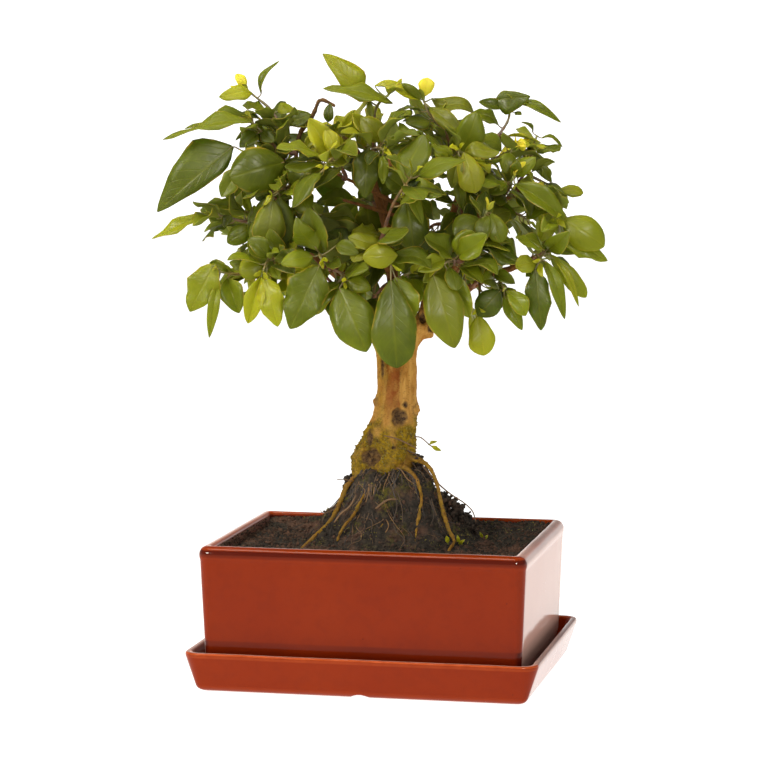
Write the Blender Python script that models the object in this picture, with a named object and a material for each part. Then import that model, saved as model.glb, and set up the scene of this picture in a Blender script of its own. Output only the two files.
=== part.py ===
"""Indoor bonsai: a small-leaved privet with its root ball in a glazed pot on a saucer.

Lengths are in millimetres until a mesh is made, which is in metres. World +X runs along the
pot's long side, +Y to its back and +Z up, from the middle of the base. The tree is turned in its
pot, so its points are written as (across, towards the front, up) in a turned frame, the tree
frame, which tree_point() turns into the world.
"""
import math
import random
from collections import namedtuple

import bmesh
import bpy
from mathutils import Vector, noise
from mathutils.bvhtree import BVHTree

MM = 0.001
GAP = 0.3  # left between two pieces that touch

# Glazed pot, measured at the crest of its rim
POT_LENGTH = 151.5
POT_DEPTH = 118.0
POT_CORNER = 5.5
POT_RIM_Z = 66.8
POT_WALL = 6.0
POT_FLOOR = 5.0
POT_FOOT = 2.0
POT_TAPER = 2.6  # how much narrower each side is at the foot
POT_EDGE = 6.0  # radius of the bottom edge
RIM_ROUND = 4.5
DRAIN_RADIUS = 5.0
DRAIN_X = 34.0

# Glazed saucer, measured at the crest of its rim
SAUCER_LENGTH = 164.0
SAUCER_DEPTH = 130.0
SAUCER_CORNER = 8.0
SAUCER_HEIGHT = 18.7
SAUCER_WALL = 3.9
SAUCER_FLOOR_Z = 6.5
SAUCER_FOOT = 2.5
FOOT_RING_IN = 13.0
FOOT_RING_OUT = 8.0
NOTCH_WIDTH = 9.0  # arched water notch through the foot ring, front and back
NOTCH_HEIGHT = 1.6
CORNER_STEPS = 3

# Plastic mesh over each drain hole
MESH_SIDE = 20.0
MESH_THICK = 1.2
MESH_CELLS = 3
MESH_BAR = 1.6

# Soil, and the root ball that stands up out of it
SOIL_Z = 60.5
SOIL_CELLS = (18, 14)
SOIL_LUMP = 1.1
SOIL_HOLE_GAP = 0.35  # round the stems and roots
SOIL_LUMP_SIZE = 7.0
MOUND_CENTRE = (0.0, 1.0)  # tree frame
MOUND_RIGHT_STRETCH = 1.16
MOUND = ((0.0, 97.0), (13.0, 96.0), (17.5, 91.0), (22.0, 83.0), (27.0, 75.0), (33.0, 68.0),
         (41.0, 62.5), (50.0, 60.5))  # (distance from the centre, height)

# The tree is turned about +Z in its pot
TREE_TURN = math.radians(12.43)
CROWN_CENTRE = (-1.0, 0.0, 216.0)
CROWN_HALF = (99.0, 72.0, 58.0)
CROWN_DEEPEST = 67.0  # how far leaves that grow by rule reach to the front and the back

# Stems, limbs and roots in the tree frame: (across, front, up, radius)
STEMS = (
    ((-5.5, 1, 80, 8.6), (-6.3, 1, 92, 8.8), (-7.0, 1, 101, 8.6), (-4.6, 1, 111, 6.6),
     (-2.6, 1, 121, 4.4), (-1.6, 1, 131, 3.1), (-1.9, 0.5, 145, 2.5), (-4, 0, 160, 2.4),
     (-10, -2, 172, 2.4)),
    ((0, 2.5, 80, 9.0), (0, 3.5, 93, 8.6), (0.5, 3.5, 104, 7.6), (1.5, 2.5, 116, 5.6),
     (2.4, 2, 127, 4.0), (3.2, 1.5, 140, 3.0), (3.2, 0, 160, 2.7), (2.6, -1, 176, 2.5)),
    ((3.5, -1, 80, 8.8), (4.0, -1, 93, 8.7), (6.2, -1, 104, 7.4), (8.2, -0.5, 116, 6.0),
     (9.2, 0, 128, 5.0), (9.9, 0, 141, 4.2), (10.9, 0, 153, 3.7), (13.2, 0, 160, 4.4),
     (17, -1, 168, 3.8)),
)
BURRS = (
    ((2, 4, 106, 4.0), (7, 10.3, 104, 3.0)),
    ((-7, 4, 104, 5.0), (-10, 9.0, 103, 4.4)),
    ((-6, 2, 96, 6.0), (-12.6, 5.0, 94.5, 3.6)),
    ((2, 3, 119, 3.0), (6.2, 6.4, 121, 2.2)),
    ((9, 1, 125, 3.0), (13.6, 2.0, 125.3, 2.1)),
    ((-3, 1, 127, 2.5), (-5.2, 2.0, 127.6, 1.4)),
)
CUT_STUBS = (
    ((14, 0, 161, 3.2), (12.9, 7.0, 165.5, 2.5)),
    ((15, 0, 161, 3.2), (19.5, 5.5, 164.0, 2.3)),
    ((15, -1, 160, 3.0), (21.5, 1.5, 160.5, 2.0)),
    ((8.6, 6, 215, 1.8), (11.5, 13.5, 223.5, 2.3)),
)
LIMBS = {
    "left_low": ((-10, -2, 171, 2.1), (-24, 8, 180, 1.9), (-40, 14, 186, 1.6), (-56, 17, 190, 1.2)),
    "left": ((-10, -2, 171, 2.2), (-22, -5, 190, 2.0), (-36, -5, 206, 1.7), (-38, -4, 226, 1.4),
             (-44, -2, 241, 1.1)),
    "left_back": ((-10, -2, 171, 2.1), (-20, -20, 184, 1.8), (-34, -36, 197, 1.5), (-48, -45, 207, 1.1)),
    "left_far": ((-35, -5, 205, 1.5), (-50, -4, 212, 1.3), (-65, -1, 217, 1.0)),
    "front_left": ((-10, -2, 171, 2.0), (-16, 14, 182, 1.7), (-26, 30, 192, 1.4), (-34, 44, 200, 1.0)),
    "middle": ((2.6, -1, 175, 2.4), (3, -3, 196, 2.2), (-2, -4, 217, 1.9), (-8, -4, 240, 1.5),
               (-11, -2, 255, 1.1)),
    "front": ((3, -1, 178, 1.9), (1, 14, 191, 1.7), (-4, 28, 201, 1.4), (-8, 41, 208, 1.0)),
    "knee": ((2.6, -3, 199, 1.9), (6, 2, 209, 1.8), (9, 7, 217, 1.7), (11.5, 10, 226, 1.5),
             (16, 10, 241, 1.2)),
    "back": ((2.8, -2, 178, 2.0), (4, -19, 191, 1.8), (6, -35, 206, 1.5), (6, -48, 221, 1.1)),
    "right": ((17, -1, 167, 2.9), (22, -3, 186, 2.3), (28, -4, 206, 1.9), (34, -3, 226, 1.5),
              (38, -2, 245, 1.1)),
    "right_low": ((17, -1, 167, 2.4), (31, 4, 177, 1.9), (47, 8, 187, 1.6), (62, 10, 193, 1.4),
                  (77, 10, 200, 1.0)),
    "right_back": ((17, -1, 167, 2.4), (27, -18, 180, 1.9), (39, -34, 195, 1.5), (51, -44, 207, 1.1)),
    "front_right": ((16, 0, 166, 2.3), (24, 17, 181, 1.8), (32, 31, 194, 1.4), (38, 44, 203, 1.0)),
    "right_far": ((27.5, -4, 205, 1.6), (44, -2, 216, 1.4), (58, 0, 224, 1.2), (70, 1, 229, 1.0)),
    "back_top": ((-1.5, -4, 215, 1.6), (1, -18, 229, 1.4), (2, -31, 241, 1.0)),
    "left_back_top": ((-37.5, -4, 224, 1.4), (-38, -19, 233, 1.2), (-36, -32, 241, 1.0)),
    "right_back_top": ((33, -3, 223, 1.4), (36, -19, 233, 1.2), (37, -32, 242, 1.0)),
    "top_right": ((33.5, -3, 225, 1.4), (46, -2, 240, 1.2), (54, -2, 253, 1.0)),
    "crook": ((-41, -3, 233.5, 1.1), (-41.5, -1, 244, 1.1), (-39.6, 1, 253.2, 1.1), (-34, 2, 260.7, 1.1),
              (-30.3, 3, 268.5, 1.0), (-23.3, 3, 265.8, 0.9)),
    "cross_high": ((9.2, 6, 218, 1.2), (2, 9, 222.5, 1.1), (-11, 11, 229, 1.0), (-23, 12, 235, 0.8)),
    "cross_low": ((8, 5, 214, 1.2), (4.5, 8, 215.5, 1.1), (-8, 11, 219.5, 1.0), (-20, 12, 223, 0.8)),
}
ROOTS = (
    ((9, 4, 103, 2.2), (17, 8, 101, 1.5), (21, 10, 97, 1.3), (23.5, 12, 91, 1.2), (25.5, 17, 82, 1.2),
     (28, 22, 73, 1.2), (31, 27, 67, 1.1), (29, 30, 64, 1.0), (26, 33, 60, 0.9)),
    ((8, 8, 99, 2.0), (13, 13, 95, 1.2), (16, 18, 87, 1.1), (15, 23, 79, 1.1), (13.5, 28, 71, 1.0),
     (13, 33, 65, 1.0), (12, 37, 59, 0.9)),
    ((-10, 4, 97, 2.4), (-17.5, 6, 91, 1.6), (-21, 8, 84, 1.5), (-24, 11, 77, 1.4), (-29, 13, 71, 1.3),
     (-36, 15, 65, 1.1), (-41, 16, 60, 0.9)),
    ((-6, 9, 91, 1.6), (-11, 19, 86, 1.1), (-15, 23, 79, 1.1), (-20, 26, 73, 1.0), (-23, 28, 67, 0.9)),
    ((0, 17, 87, 1.2), (-1, 25, 77, 0.8), (-4, 30.5, 70, 0.8), (-4, 35, 62, 0.7)),
    ((6, -9, 96, 2.4), (12, -17, 88, 1.4), (18, -25, 77, 1.3), (21, -33, 67, 1.1), (22, -40, 59, 0.9)),
    ((-6, -8, 96, 2.4), (-11, -17, 88, 1.4), (-16, -24, 78, 1.3), (-22, -30, 68, 1.1),
     (-26, -36, 59, 0.9)),
)
STEM_BEVEL = 2
LIMB_BEVEL = 1
ROOT_BEVEL = 0

# Leafy twigs
TWIG_RADIUS = 0.9
TWIG_TIP_RADIUS = 0.6
PETIOLE = 0.42  # half the petiole's thickness
SHORT_PETIOLE = 2.4
BLADE_THICK = 1.25
BLADE_STATIONS = ((0.06, 0.15), (0.33, 1.0), (0.66, 0.78))  # (place, share of the half width)
SMALL_BLADE = 21.0  # a shorter blade has no station at its base
SMALL_BASE = 0.45  # share of the half width that its stalk has grown to there
BLADE_ARCH = 0.09
CLEARANCE = 0.45
MOST_LEAVES = 305
MOST_SPRAYS = 54
PAIR_SPACING = 11.0
INNER_LEAF = 25.0  # length of a leaf that grows by rule, on a listed twig
OUTER_LEAF = 29.0  # and on a twig that grows by rule
LEAF_WIDTH = (0.57, 0.68)  # share of the length
SEED = 20
EYE = (-2.9, 1330.0, 276.0)  # where the photo is seen from, in the tree frame
SEEN_AT = 25.0  # the gaps are given in the upright plane this far towards the front

# Gaps in the crown as the front shows them: from and to across, from and to up, and how far towards
# the front a leaf has to be for the gap to keep it out. The first is a hollow with bare twigs in it.
WINDOWS = (
    (-24, 6, 212, 234, 8), (-23.5, -14, 225.5, 231, -99), (-100, -68, 250.5, 256, -99),
    (-112, -68, 196.5, 203.5, -99), (-69.5, -65.5, 211.5, 216.5, -99), (-33, -25.5, 258.5, 266, -99),
    (-22, -14, 263.5, 267.5, -99), (-5.5, 2, 260.5, 266, -99), (1, 11, 264.5, 270, -99),
    (48, 58, 254, 263, -99),
    (66, 73, 229, 236, -99), (65, 92, 252.5, 263, -99), (71, 79, 247.5, 251.5, -99),
    (77.5, 104, 229.5, 246, -99), (84, 104, 218.5, 224.5, -99), (37.5, 44.5, 176, 184.5, -99),
    (54.5, 63, 180, 191.5, -99), (73.5, 78, 168, 184, -99), (86, 108, 172, 193, -99),
    (-5.5, -1, 181.5, 193, -99), (0, 4, 185, 190.5, -99), (-12, -5.5, 175.5, 179.5, -99),
    (-41, -38.5, 216, 219, -99),
)

Leaf = namedtuple("Leaf", "base tip width tilt")
Spray = namedtuple("Spray", "twig leaves")
Blade = namedtuple("Blade", "root base tip width facing")
Obstacle = namedtuple("Obstacle", "low high tree spray is_blade")

# Sprays that the front shows, in the tree frame. A leaf runs from its blade's base to its tip and
# has a width. Its tilt is 0 where the blade faces the front and 90 where it faces up.
SHOWN_SPRAYS = (
    # The young shoot at the top left
    Spray(((-44, -2, 242), (-47, 2, 254), (-53, 2, 264), (-60, 2, 270), (-63, 2, 272.5)), (
        Leaf((-63, 2, 273), (-69, 3, 280.5), 5, 15), Leaf((-61.5, 2, 271.5), (-76.5, 4, 270), 8, 25),
        Leaf((-57.5, 2, 271.5), (-49, 1, 286.5), 5, 72),
        Leaf((-54, 2, 264.5), (-66, 5, 266), 7, 50), Leaf((-52, 2, 263), (-42.5, 1, 264.8), 7, 40),
        Leaf((-48, 2, 257), (-34.5, 5, 262), 9, 30), Leaf((-63.5, 2, 273.5), (-72, 3, 275), 3, 60))),
    # Long wavy leaves at the far left
    Spray(((-43, -2, 238), (-50, 6, 246), (-57, 7, 254), (-61, 7, 258)), (
        Leaf((-61.5, 7, 260.5), (-92.5, 5, 255.5), 11, 65),
        Leaf((-62, 8, 258.5), (-102, 9, 250.7), 10, 60),
        Leaf((-58, 8, 254), (-67, 13, 247), 10, 15), Leaf((-57, 8, 257), (-51, 12, 249.5), 8, 10))),
    # The big pointed leaf and the round dark one
    Spray(((-44, -4, 209.5), (-50, 8, 222), (-55, 14, 236), (-62, 16, 244)), (
        Leaf((-70, 16, 247.5), (-104.5, 17, 217.8), 21, 10),
        Leaf((-67, 18, 238), (-75, 20, 224.8), 9, 10), Leaf((-46, 18, 240.5), (-71, 24, 233.5), 21, 5),
        Leaf((-49, 10, 238), (-36.5, 15, 235), 11, 10), Leaf((-60, 15, 236), (-69, 14, 224.5), 6, 20))),
    # Level leaves at the left
    Spray(((-58, -2, 215), (-66, 6, 213), (-73, 8, 215), (-79, 8, 216)), (
        Leaf((-65, 6, 217.5), (-84, 6, 219.7), 8, 40),
        Leaf((-80, 8, 216), (-108, 7, 205), 8, 45),
        Leaf((-62, 9, 210.5), (-73, 11, 203.3), 9, 5), Leaf((-71.5, 10, 216), (-74.3, 13, 210.5), 5, 15),
        Leaf((-61.5, 10, 219.5), (-63, 12, 208), 4, 10), Leaf((-62, 8, 217), (-66, 12, 227), 5, 20))),
    # The hanging dark pair inside the left
    Spray(((-38, -4, 228), (-43, 10, 229), (-48, 20, 228), (-51, 25, 226)), (
        Leaf((-52, 25, 225), (-54.5, 28, 202.5), 15, 8),
        Leaf((-48, 22, 227), (-46, 26, 203.5), 12, 12), Leaf((-45, 15, 230), (-33, 22, 240), 12, 25))),
    # The lowest left cluster
    Spray(((-54, 17, 189), (-62, 28, 190.5), (-69, 37, 190.5), (-75, 42, 192)), (
        Leaf((-77, 43, 195.5), (-88.3, 45, 174.3), 14.5, 8),
        Leaf((-75.5, 42, 188), (-79.8, 43, 162.3), 6, 5),
        Leaf((-72, 39, 188.5), (-66.3, 44, 173.3), 14, 10),
        Leaf((-66, 31, 192), (-74.5, 30, 187.5), 5, 45))),
    Spray(((-42, 14.5, 186.5), (-47, 29, 196), (-53, 42, 197), (-55, 48, 193)), (
        Leaf((-56, 49, 190), (-62, 50, 169.3), 11.5, 8),
        Leaf((-54, 49, 190), (-48.5, 52, 168.2), 12, 5),
        Leaf((-53, 43, 196), (-66, 44, 191.5), 11, 15), Leaf((-53, 42, 199), (-62, 42, 207), 10, 15),
        Leaf((-52, 41, 198.5), (-39.5, 46, 201), 8, 35))),
    # The big leaves over the trunk, from left to right
    Spray(((-33, 42, 199), (-30, 46, 200), (-29, 50, 198)), (
        Leaf((-30, 51, 195), (-43, 55, 167.3), 19, 5), Leaf((-33, 47, 199), (-47, 52, 196), 9, 20),
        Leaf((-22.5, 48, 204), (-12, 52, 200.5), 9, 15))),
    Spray(((-25, 28, 191), (-20, 40, 191), (-19, 48, 188)), (
        Leaf((-21, 50, 185), (-9, 56, 157), 20, 8), Leaf((-18, 46, 190), (-7, 48, 184), 9, 20))),
    Spray(((-7, 39, 207), (-1, 48, 202), (2, 54, 196)), (
        Leaf((2, 56, 189), (4.5, 62, 150.3), 20, 5),
        Leaf((5, 55, 200), (-10.5, 58, 199.5), 11, 5),
        Leaf((-1, 48, 204), (-17, 51, 208), 9, 25), Leaf((4, 54, 190), (12, 55, 172), 13, 8))),
    Spray(((37, 42, 202), (30, 48, 198), (24, 52, 195)), (
        Leaf((21, 54, 191), (30.3, 60, 159), 18, 5), Leaf((27, 51, 194), (37, 53, 172), 10, 12),
        Leaf((26, 50, 198), (14, 54, 193), 9, 10))),
    Spray(((40, 6.5, 183), (42.5, 22, 186), (42, 38, 181), (41.5, 46, 176)), (
        Leaf((41, 48, 172.5), (43.6, 52, 154.8), 12, 5),
        Leaf((42.5, 26, 187.5), (36, 30, 197), 9, 30))),
    Spray(((47, 8, 187), (50, 24, 188), (52, 38, 186), (53, 44, 184)), (
        Leaf((51, 45, 183.5), (40.9, 47, 172.5), 12, 5), Leaf((53, 45, 181), (61, 47, 165.7), 7, 8),
        Leaf((54, 43, 183.5), (62.5, 45, 172.5), 9, 20), Leaf((49, 35, 190), (58, 41, 186.3), 8, 20))),
    Spray(((74, 10, 198.7), (72, 24, 200), (70, 36, 198), (69, 40, 196)), (
        Leaf((67, 42, 193), (69.5, 45, 165.5), 11.5, 5),
        Leaf((72, 38, 196), (80.3, 42, 170.3), 7, 30),
        Leaf((74, 30, 199), (90.6, 33, 179.4), 8, 12), Leaf((68, 39, 197), (58, 44, 194), 9, 20),
        Leaf((76, 33, 197), (87, 36, 175.5), 4, 40))),
    # The right side
    Spray(((66, 1, 227.5), (73, 14, 222), (77, 26, 218), (78, 31, 216)), (
        Leaf((79.5, 32, 216.5), (98.5, 34, 202.5), 15.5, 12),
        Leaf((79, 31, 206), (100.3, 31, 195.8), 9, 22), Leaf((76, 25, 217), (70, 34, 205), 10, 10))),
    Spray(((56, 0, 223), (57, 14, 229), (57, 24, 232), (58, 27, 234)), (
        Leaf((58.5, 26, 230.5), (81, 31, 214.5), 13, 28), Leaf((57, 27, 234), (60, 31, 241), 6, 10),
        Leaf((56, 22, 232), (47, 27, 226), 9, 30))),
    Spray(((31, 29.5, 192.7), (38, 38, 204), (43, 42, 214), (45, 43, 219)), (
        Leaf((42.5, 44, 217), (30.5, 48, 208), 13.5, 15), Leaf((46, 43, 217), (43, 48, 205.5), 8.5, 15),
        Leaf((47, 43, 218), (51.8, 46, 205), 9, 15))),
    Spray(((34, -3, 227.5), (33, 14, 237), (33, 28, 244), (33, 33, 246)), (
        Leaf((32, 34, 246), (29.5, 38, 229), 10, 10),
        Leaf((35, 34, 245), (40, 38, 227), 12, 8), Leaf((34, 30, 247), (51, 36, 245), 8, 25),
        Leaf((33, 22, 243), (22, 24, 245), 10, 35), Leaf((34.5, 31, 240), (34.8, 34, 218.8), 6, 10))),
    Spray(((-8.5, -4, 242), (-6, 14, 246), (-3, 26, 247), (-1, 33, 246)), (
        Leaf((-2, 34, 244.5), (18, 38, 239), 14, 12), Leaf((-3, 32, 245), (-1.5, 36, 231), 5, 10),
        Leaf((-8, 25, 247), (-10, 31, 224.5), 13, 10),
        Leaf((-1, 17, 250), (-11.5, 20, 260.5), 11, 25))),
    Spray(((10.5, 9, 222), (10, 22, 227), (10, 33, 227)), (
        Leaf((9, 35, 223), (12.5, 40, 201.5), 17, 10),
        Leaf((11, 36, 227), (16.5, 42, 213), 6, 10),
        Leaf((10, 28, 228), (-2, 33, 236), 10, 20), Leaf((10, 20, 228), (22, 26, 232), 11, 30))),
    # The top
    Spray(((-10.5, -2, 253), (-5, 3, 263), (0, 5, 270), (4, 5, 273)), (
        Leaf((-11.5, 4, 271), (-29, 4, 289.6), 13, 10),
        Leaf((3, 5, 267), (-28.7, 8, 273.8), 9, 42), Leaf((-5, 1, 275), (15, 2, 268.7), 8, 45),
        Leaf((-7.5, 6, 268), (-6.5, 8, 260), 4, 15))),
    Spray(((36.5, -2, 239), (28, 3, 252), (20, 5, 262), (17.5, 5, 268)), (
        Leaf((18, 5, 270), (19.2, 6, 278.7), 7.5, 5), Leaf((17, 6, 268.5), (7, 8, 276), 4.5, 10),
        Leaf((21, 4, 269), (40.5, 4, 262.2), 10, 45), Leaf((17, 7, 266), (39, 14, 249), 8, 25),
        Leaf((24, 4, 260), (9, 10, 258), 10, 40))),
    Spray(((53.5, -2, 252), (56, 0, 258), (57.5, 1, 264)), (
        Leaf((50.5, 2, 268.5), (66.5, 4, 270), 11.5, 8),
        Leaf((60, -1, 267), (80.7, 3, 258), 5.5, 32), Leaf((54, 1, 264.5), (42.7, 5, 267.5), 7, 35),
        Leaf((52, 1, 256.8), (39.5, 5, 262.5), 8, 40), Leaf((58.2, 2, 263), (62.5, 4, 261.5), 3, 40))),
    Spray(((62, 0.5, 225.5), (66, -2, 238), (68, -3, 246), (70, -3, 252)), (
        Leaf((71, -3, 252), (81.8, -2, 246.5), 5, 68),
        Leaf((69, -3, 253), (62.6, -2, 258.2), 4, 65), Leaf((69, -2, 243), (81, 0, 246.5), 5, 45),
        Leaf((67.5, 0, 241), (76.5, 4, 230.5), 6.5, 15))),
    Spray(((69, 1, 228.6), (74, 6, 230), (77, 8, 230)), (
        Leaf((79, 8, 227), (90.8, 9, 225.7), 6.5, 35), Leaf((75.5, 8, 231.5), (72, 10, 238.5), 5, 25),
        Leaf((76.5, 7, 228), (83, 12, 218.5), 7, 30))),
    Spray(((45, -2, 238.7), (51, 8, 242), (56, 14, 245), (58, 17, 247)), (
        Leaf((58, 17, 246.5), (63.8, 19, 248.8), 6, 10), Leaf((57, 17, 246), (54, 21, 235), 8, 15),
        Leaf((54, 12, 246), (43, 16, 252), 11, 40))),
    Spray(((-9, -4, 246), (-17, 4, 250), (-24, 9, 253), (-28, 11, 255)), (
        Leaf((-26.5, 12, 254), (-25, 17, 242), 10.5, 12),
        Leaf((-18.5, 8, 251), (-14, 11, 264.2), 7.5, 10), Leaf((-29, 11, 254), (-37.5, 14, 246.5), 6, 25),
        Leaf((-26.5, 11, 258.5), (-25.5, 12, 267), 5, 20))),
    # Behind the hollow
    Spray(((-2, -4, 217), (-6, -12, 221), (-10, -20, 222), (-13, -26, 221)), (
        Leaf((-12, -24, 220), (-27, -24, 206), 14, 10), Leaf((-8, -20, 221), (-6, -20, 202), 14, 5),
        Leaf((-5, -14, 221), (10, -16, 212), 12, 10), Leaf((-6, -12, 224), (8, -14, 237), 13, 15),
        Leaf((-14, -26, 220), (-33, -26, 220), 9, 10), Leaf((-9, -18, 224), (-9, -19, 243), 13, 12))),
)


def tree_point(point):
    """The world point, in millimetres, of (across, front, up) in the tree frame."""
    across, front, up = point
    cos, sin = math.cos(TREE_TURN), math.sin(TREE_TURN)
    return Vector((across * cos + front * sin, across * sin - front * cos, up))


FRONT = tree_point((0.0, 1.0, 0.0))
UP = Vector((0.0, 0.0, 1.0))


def clear_scene():
    """Remove what the file opens with."""
    for thing in list(bpy.data.objects):
        bpy.data.objects.remove(thing, do_unlink=True)


def new_collection(name):
    """A collection linked to the scene."""
    collection = bpy.data.collections.new(name)
    bpy.context.scene.collection.children.link(collection)
    return collection


def material(name, colour, roughness, metallic=0.0):
    """A Principled material with one colour."""
    made = bpy.data.materials.new(name)
    made.use_nodes = True
    shader = made.node_tree.nodes["Principled BSDF"]
    shader.inputs["Base Color"].default_value = (*colour, 1.0)
    shader.inputs["Roughness"].default_value = roughness
    shader.inputs["Metallic"].default_value = metallic
    return made


def mesh_object(name, mesh, collection):
    """A new object in the collection."""
    thing = bpy.data.objects.new(name, mesh)
    collection.objects.link(thing)
    return thing


def object_of(bm, name, collection):
    """An object from a bmesh, with its faces pointing out."""
    bmesh.ops.recalc_face_normals(bm, faces=bm.faces)
    mesh = bpy.data.meshes.new(name)
    bm.to_mesh(mesh)
    bm.free()
    return mesh_object(name, mesh, collection)


def evaluated_mesh(thing):
    """The object's mesh after its modifiers. A curve's loose caps are welded to its tube."""
    graph = bpy.context.evaluated_depsgraph_get()
    mesh = bpy.data.meshes.new_from_object(thing.evaluated_get(graph))
    if thing.type == "CURVE":
        bm = bmesh.new()
        bm.from_mesh(mesh)
        bmesh.ops.remove_doubles(bm, verts=bm.verts, dist=1e-6)
        bm.to_mesh(mesh)
        bm.free()
    return mesh


def tube(name, points, bevel, collection, grow=0.0):
    """A round tube through (world point, radius) pairs, as a closed mesh object."""
    curve = bpy.data.curves.new(name, "CURVE")
    curve.dimensions = "3D"
    curve.bevel_depth = MM
    curve.bevel_resolution = bevel
    curve.use_fill_caps = True
    curve.twist_mode = "MINIMUM"
    spline = curve.splines.new("POLY")
    spline.points.add(len(points) - 1)
    for knot, (place, radius) in zip(spline.points, points):
        knot.co = (*(place * MM), 1.0)
        knot.radius = radius + grow
    guide = mesh_object(name + "_guide", curve, collection)
    mesh = evaluated_mesh(guide)
    thing = mesh_object(name, mesh, collection)
    thing.matrix_world = guide.matrix_world
    bpy.data.objects.remove(guide, do_unlink=True)
    return thing


def boolean(body, cutters, operation, solver="EXACT"):
    """Join the pieces to the body, or cut them from it, and remove them."""
    group = new_collection("pieces")
    for cutter in cutters:
        for home in list(cutter.users_collection):
            home.objects.unlink(cutter)
        group.objects.link(cutter)
        cutter.hide_render = True
        cutter.display_type = "WIRE"
    modifier = body.modifiers.new(operation.lower(), "BOOLEAN")
    modifier.operation = operation
    modifier.operand_type = "COLLECTION"
    modifier.collection = group
    modifier.solver = solver
    mesh = evaluated_mesh(body)
    body.modifiers.clear()
    body.data = mesh
    for cutter in list(group.objects):
        bpy.data.objects.remove(cutter, do_unlink=True)
    bpy.data.collections.remove(group)
    keep_largest(body)


def keep_largest(thing):
    """Drop loose scraps and sealed hollows: only the body with the most faces stays."""
    bm = bmesh.new()
    bm.from_mesh(thing.data)
    unseen = set(bm.verts)
    islands = []
    while unseen:
        island = {unseen.pop()}
        edge = list(island)
        while edge:
            for link in edge.pop().link_edges:
                for vert in link.verts:
                    if vert in unseen:
                        unseen.remove(vert)
                        island.add(vert)
                        edge.append(vert)
        islands.append(island)
    largest = max(islands, key=len)
    bmesh.ops.delete(bm, geom=[v for v in bm.verts if v not in largest], context="VERTS")
    bm.to_mesh(thing.data)
    bm.free()


def shade(thing, finish, smooth=True):
    """Give an object its material, and round shading where it is round."""
    thing.data.materials.clear()
    thing.data.materials.append(finish)
    if smooth:
        thing.data.shade_smooth()
        thing.data.set_sharp_from_angle(angle=math.radians(40))


# Pot and saucer

def rounded_ring(bm, half_x, half_y, radius, z):
    """Vertices of a rounded rectangle at one height, anticlockwise from above."""
    ring = []
    for quadrant in range(4):
        centre_x = (half_x - radius) * (1 if quadrant in (0, 3) else -1)
        centre_y = (half_y - radius) * (1 if quadrant in (0, 1) else -1)
        for step in range(CORNER_STEPS + 1):
            angle = (quadrant + step / CORNER_STEPS) * math.pi / 2
            ring.append(bm.verts.new((
                (centre_x + radius * math.cos(angle)) * MM,
                (centre_y + radius * math.sin(angle)) * MM,
                z * MM,
            )))
    return ring


def vessel(name, length, depth, corner, profile, collection):
    """A rectangular vessel: rounded rectangles lofted along a profile of (inset, height).

    The profile runs from the middle of the underside out, up the wall, over the rim and down to
    the middle of the floor.
    """
    bm = bmesh.new()
    rings = [
        rounded_ring(bm, length / 2 - inset, depth / 2 - inset, max(corner - inset, 2.0), z)
        for inset, z in profile
    ]
    for lower, upper in zip(rings, rings[1:]):
        for i in range(len(lower)):
            j = (i + 1) % len(lower)
            bm.faces.new((lower[i], lower[j], upper[j], upper[i]))
    bm.faces.new(reversed(rings[0]))
    bm.faces.new(rings[-1])
    return object_of(bm, name, collection)


def arc(centre_inset, centre_z, radius, first, last, steps):
    """Profile points on an arc, from one angle to another in degrees; 0 points outwards."""
    points = []
    for step in range(steps + 1):
        angle = math.radians(first + (last - first) * step / steps)
        points.append((centre_inset - radius * math.cos(angle), centre_z + radius * math.sin(angle)))
    return points


def notch_cutter(name, underside_z, depth, collection):
    """A cylinder lying front to back that cuts an arched notch into a foot ring."""
    radius = ((NOTCH_WIDTH / 2) ** 2 + NOTCH_HEIGHT ** 2) / (2 * NOTCH_HEIGHT)
    bpy.ops.mesh.primitive_cylinder_add(
        vertices=24, radius=radius * MM, depth=(depth + 20) * MM,
        location=(0, 0, (underside_z + NOTCH_HEIGHT - radius) * MM), rotation=(math.pi / 2, 0, 0))
    cutter = bpy.context.object
    cutter.name = name
    collection.objects.link(cutter)
    return cutter


def make_saucer(parts, cutters):
    """The saucer: a flared tray on a foot ring with a notch in front and at the back."""
    rim = SAUCER_HEIGHT
    profile = [(FOOT_RING_IN + 1.0, SAUCER_FOOT), (FOOT_RING_IN, 0.0), (FOOT_RING_OUT, 0.0),
               (6.3, 0.7), (5.2, 2.6), (0.5, rim - 1.9), (0.0, rim - 1.2), (0.7, rim - 0.3),
               (1.6, rim), (SAUCER_WALL - 0.9, rim), (SAUCER_WALL, rim - 0.8),
               (8.6, SAUCER_FLOOR_Z + 1.5), (10.5, SAUCER_FLOOR_Z)]
    saucer = vessel("saucer", SAUCER_LENGTH, SAUCER_DEPTH, SAUCER_CORNER, profile, parts)
    boolean(saucer, [notch_cutter("saucer_notch", 0.0, SAUCER_DEPTH, cutters)], "DIFFERENCE")
    return saucer


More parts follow.
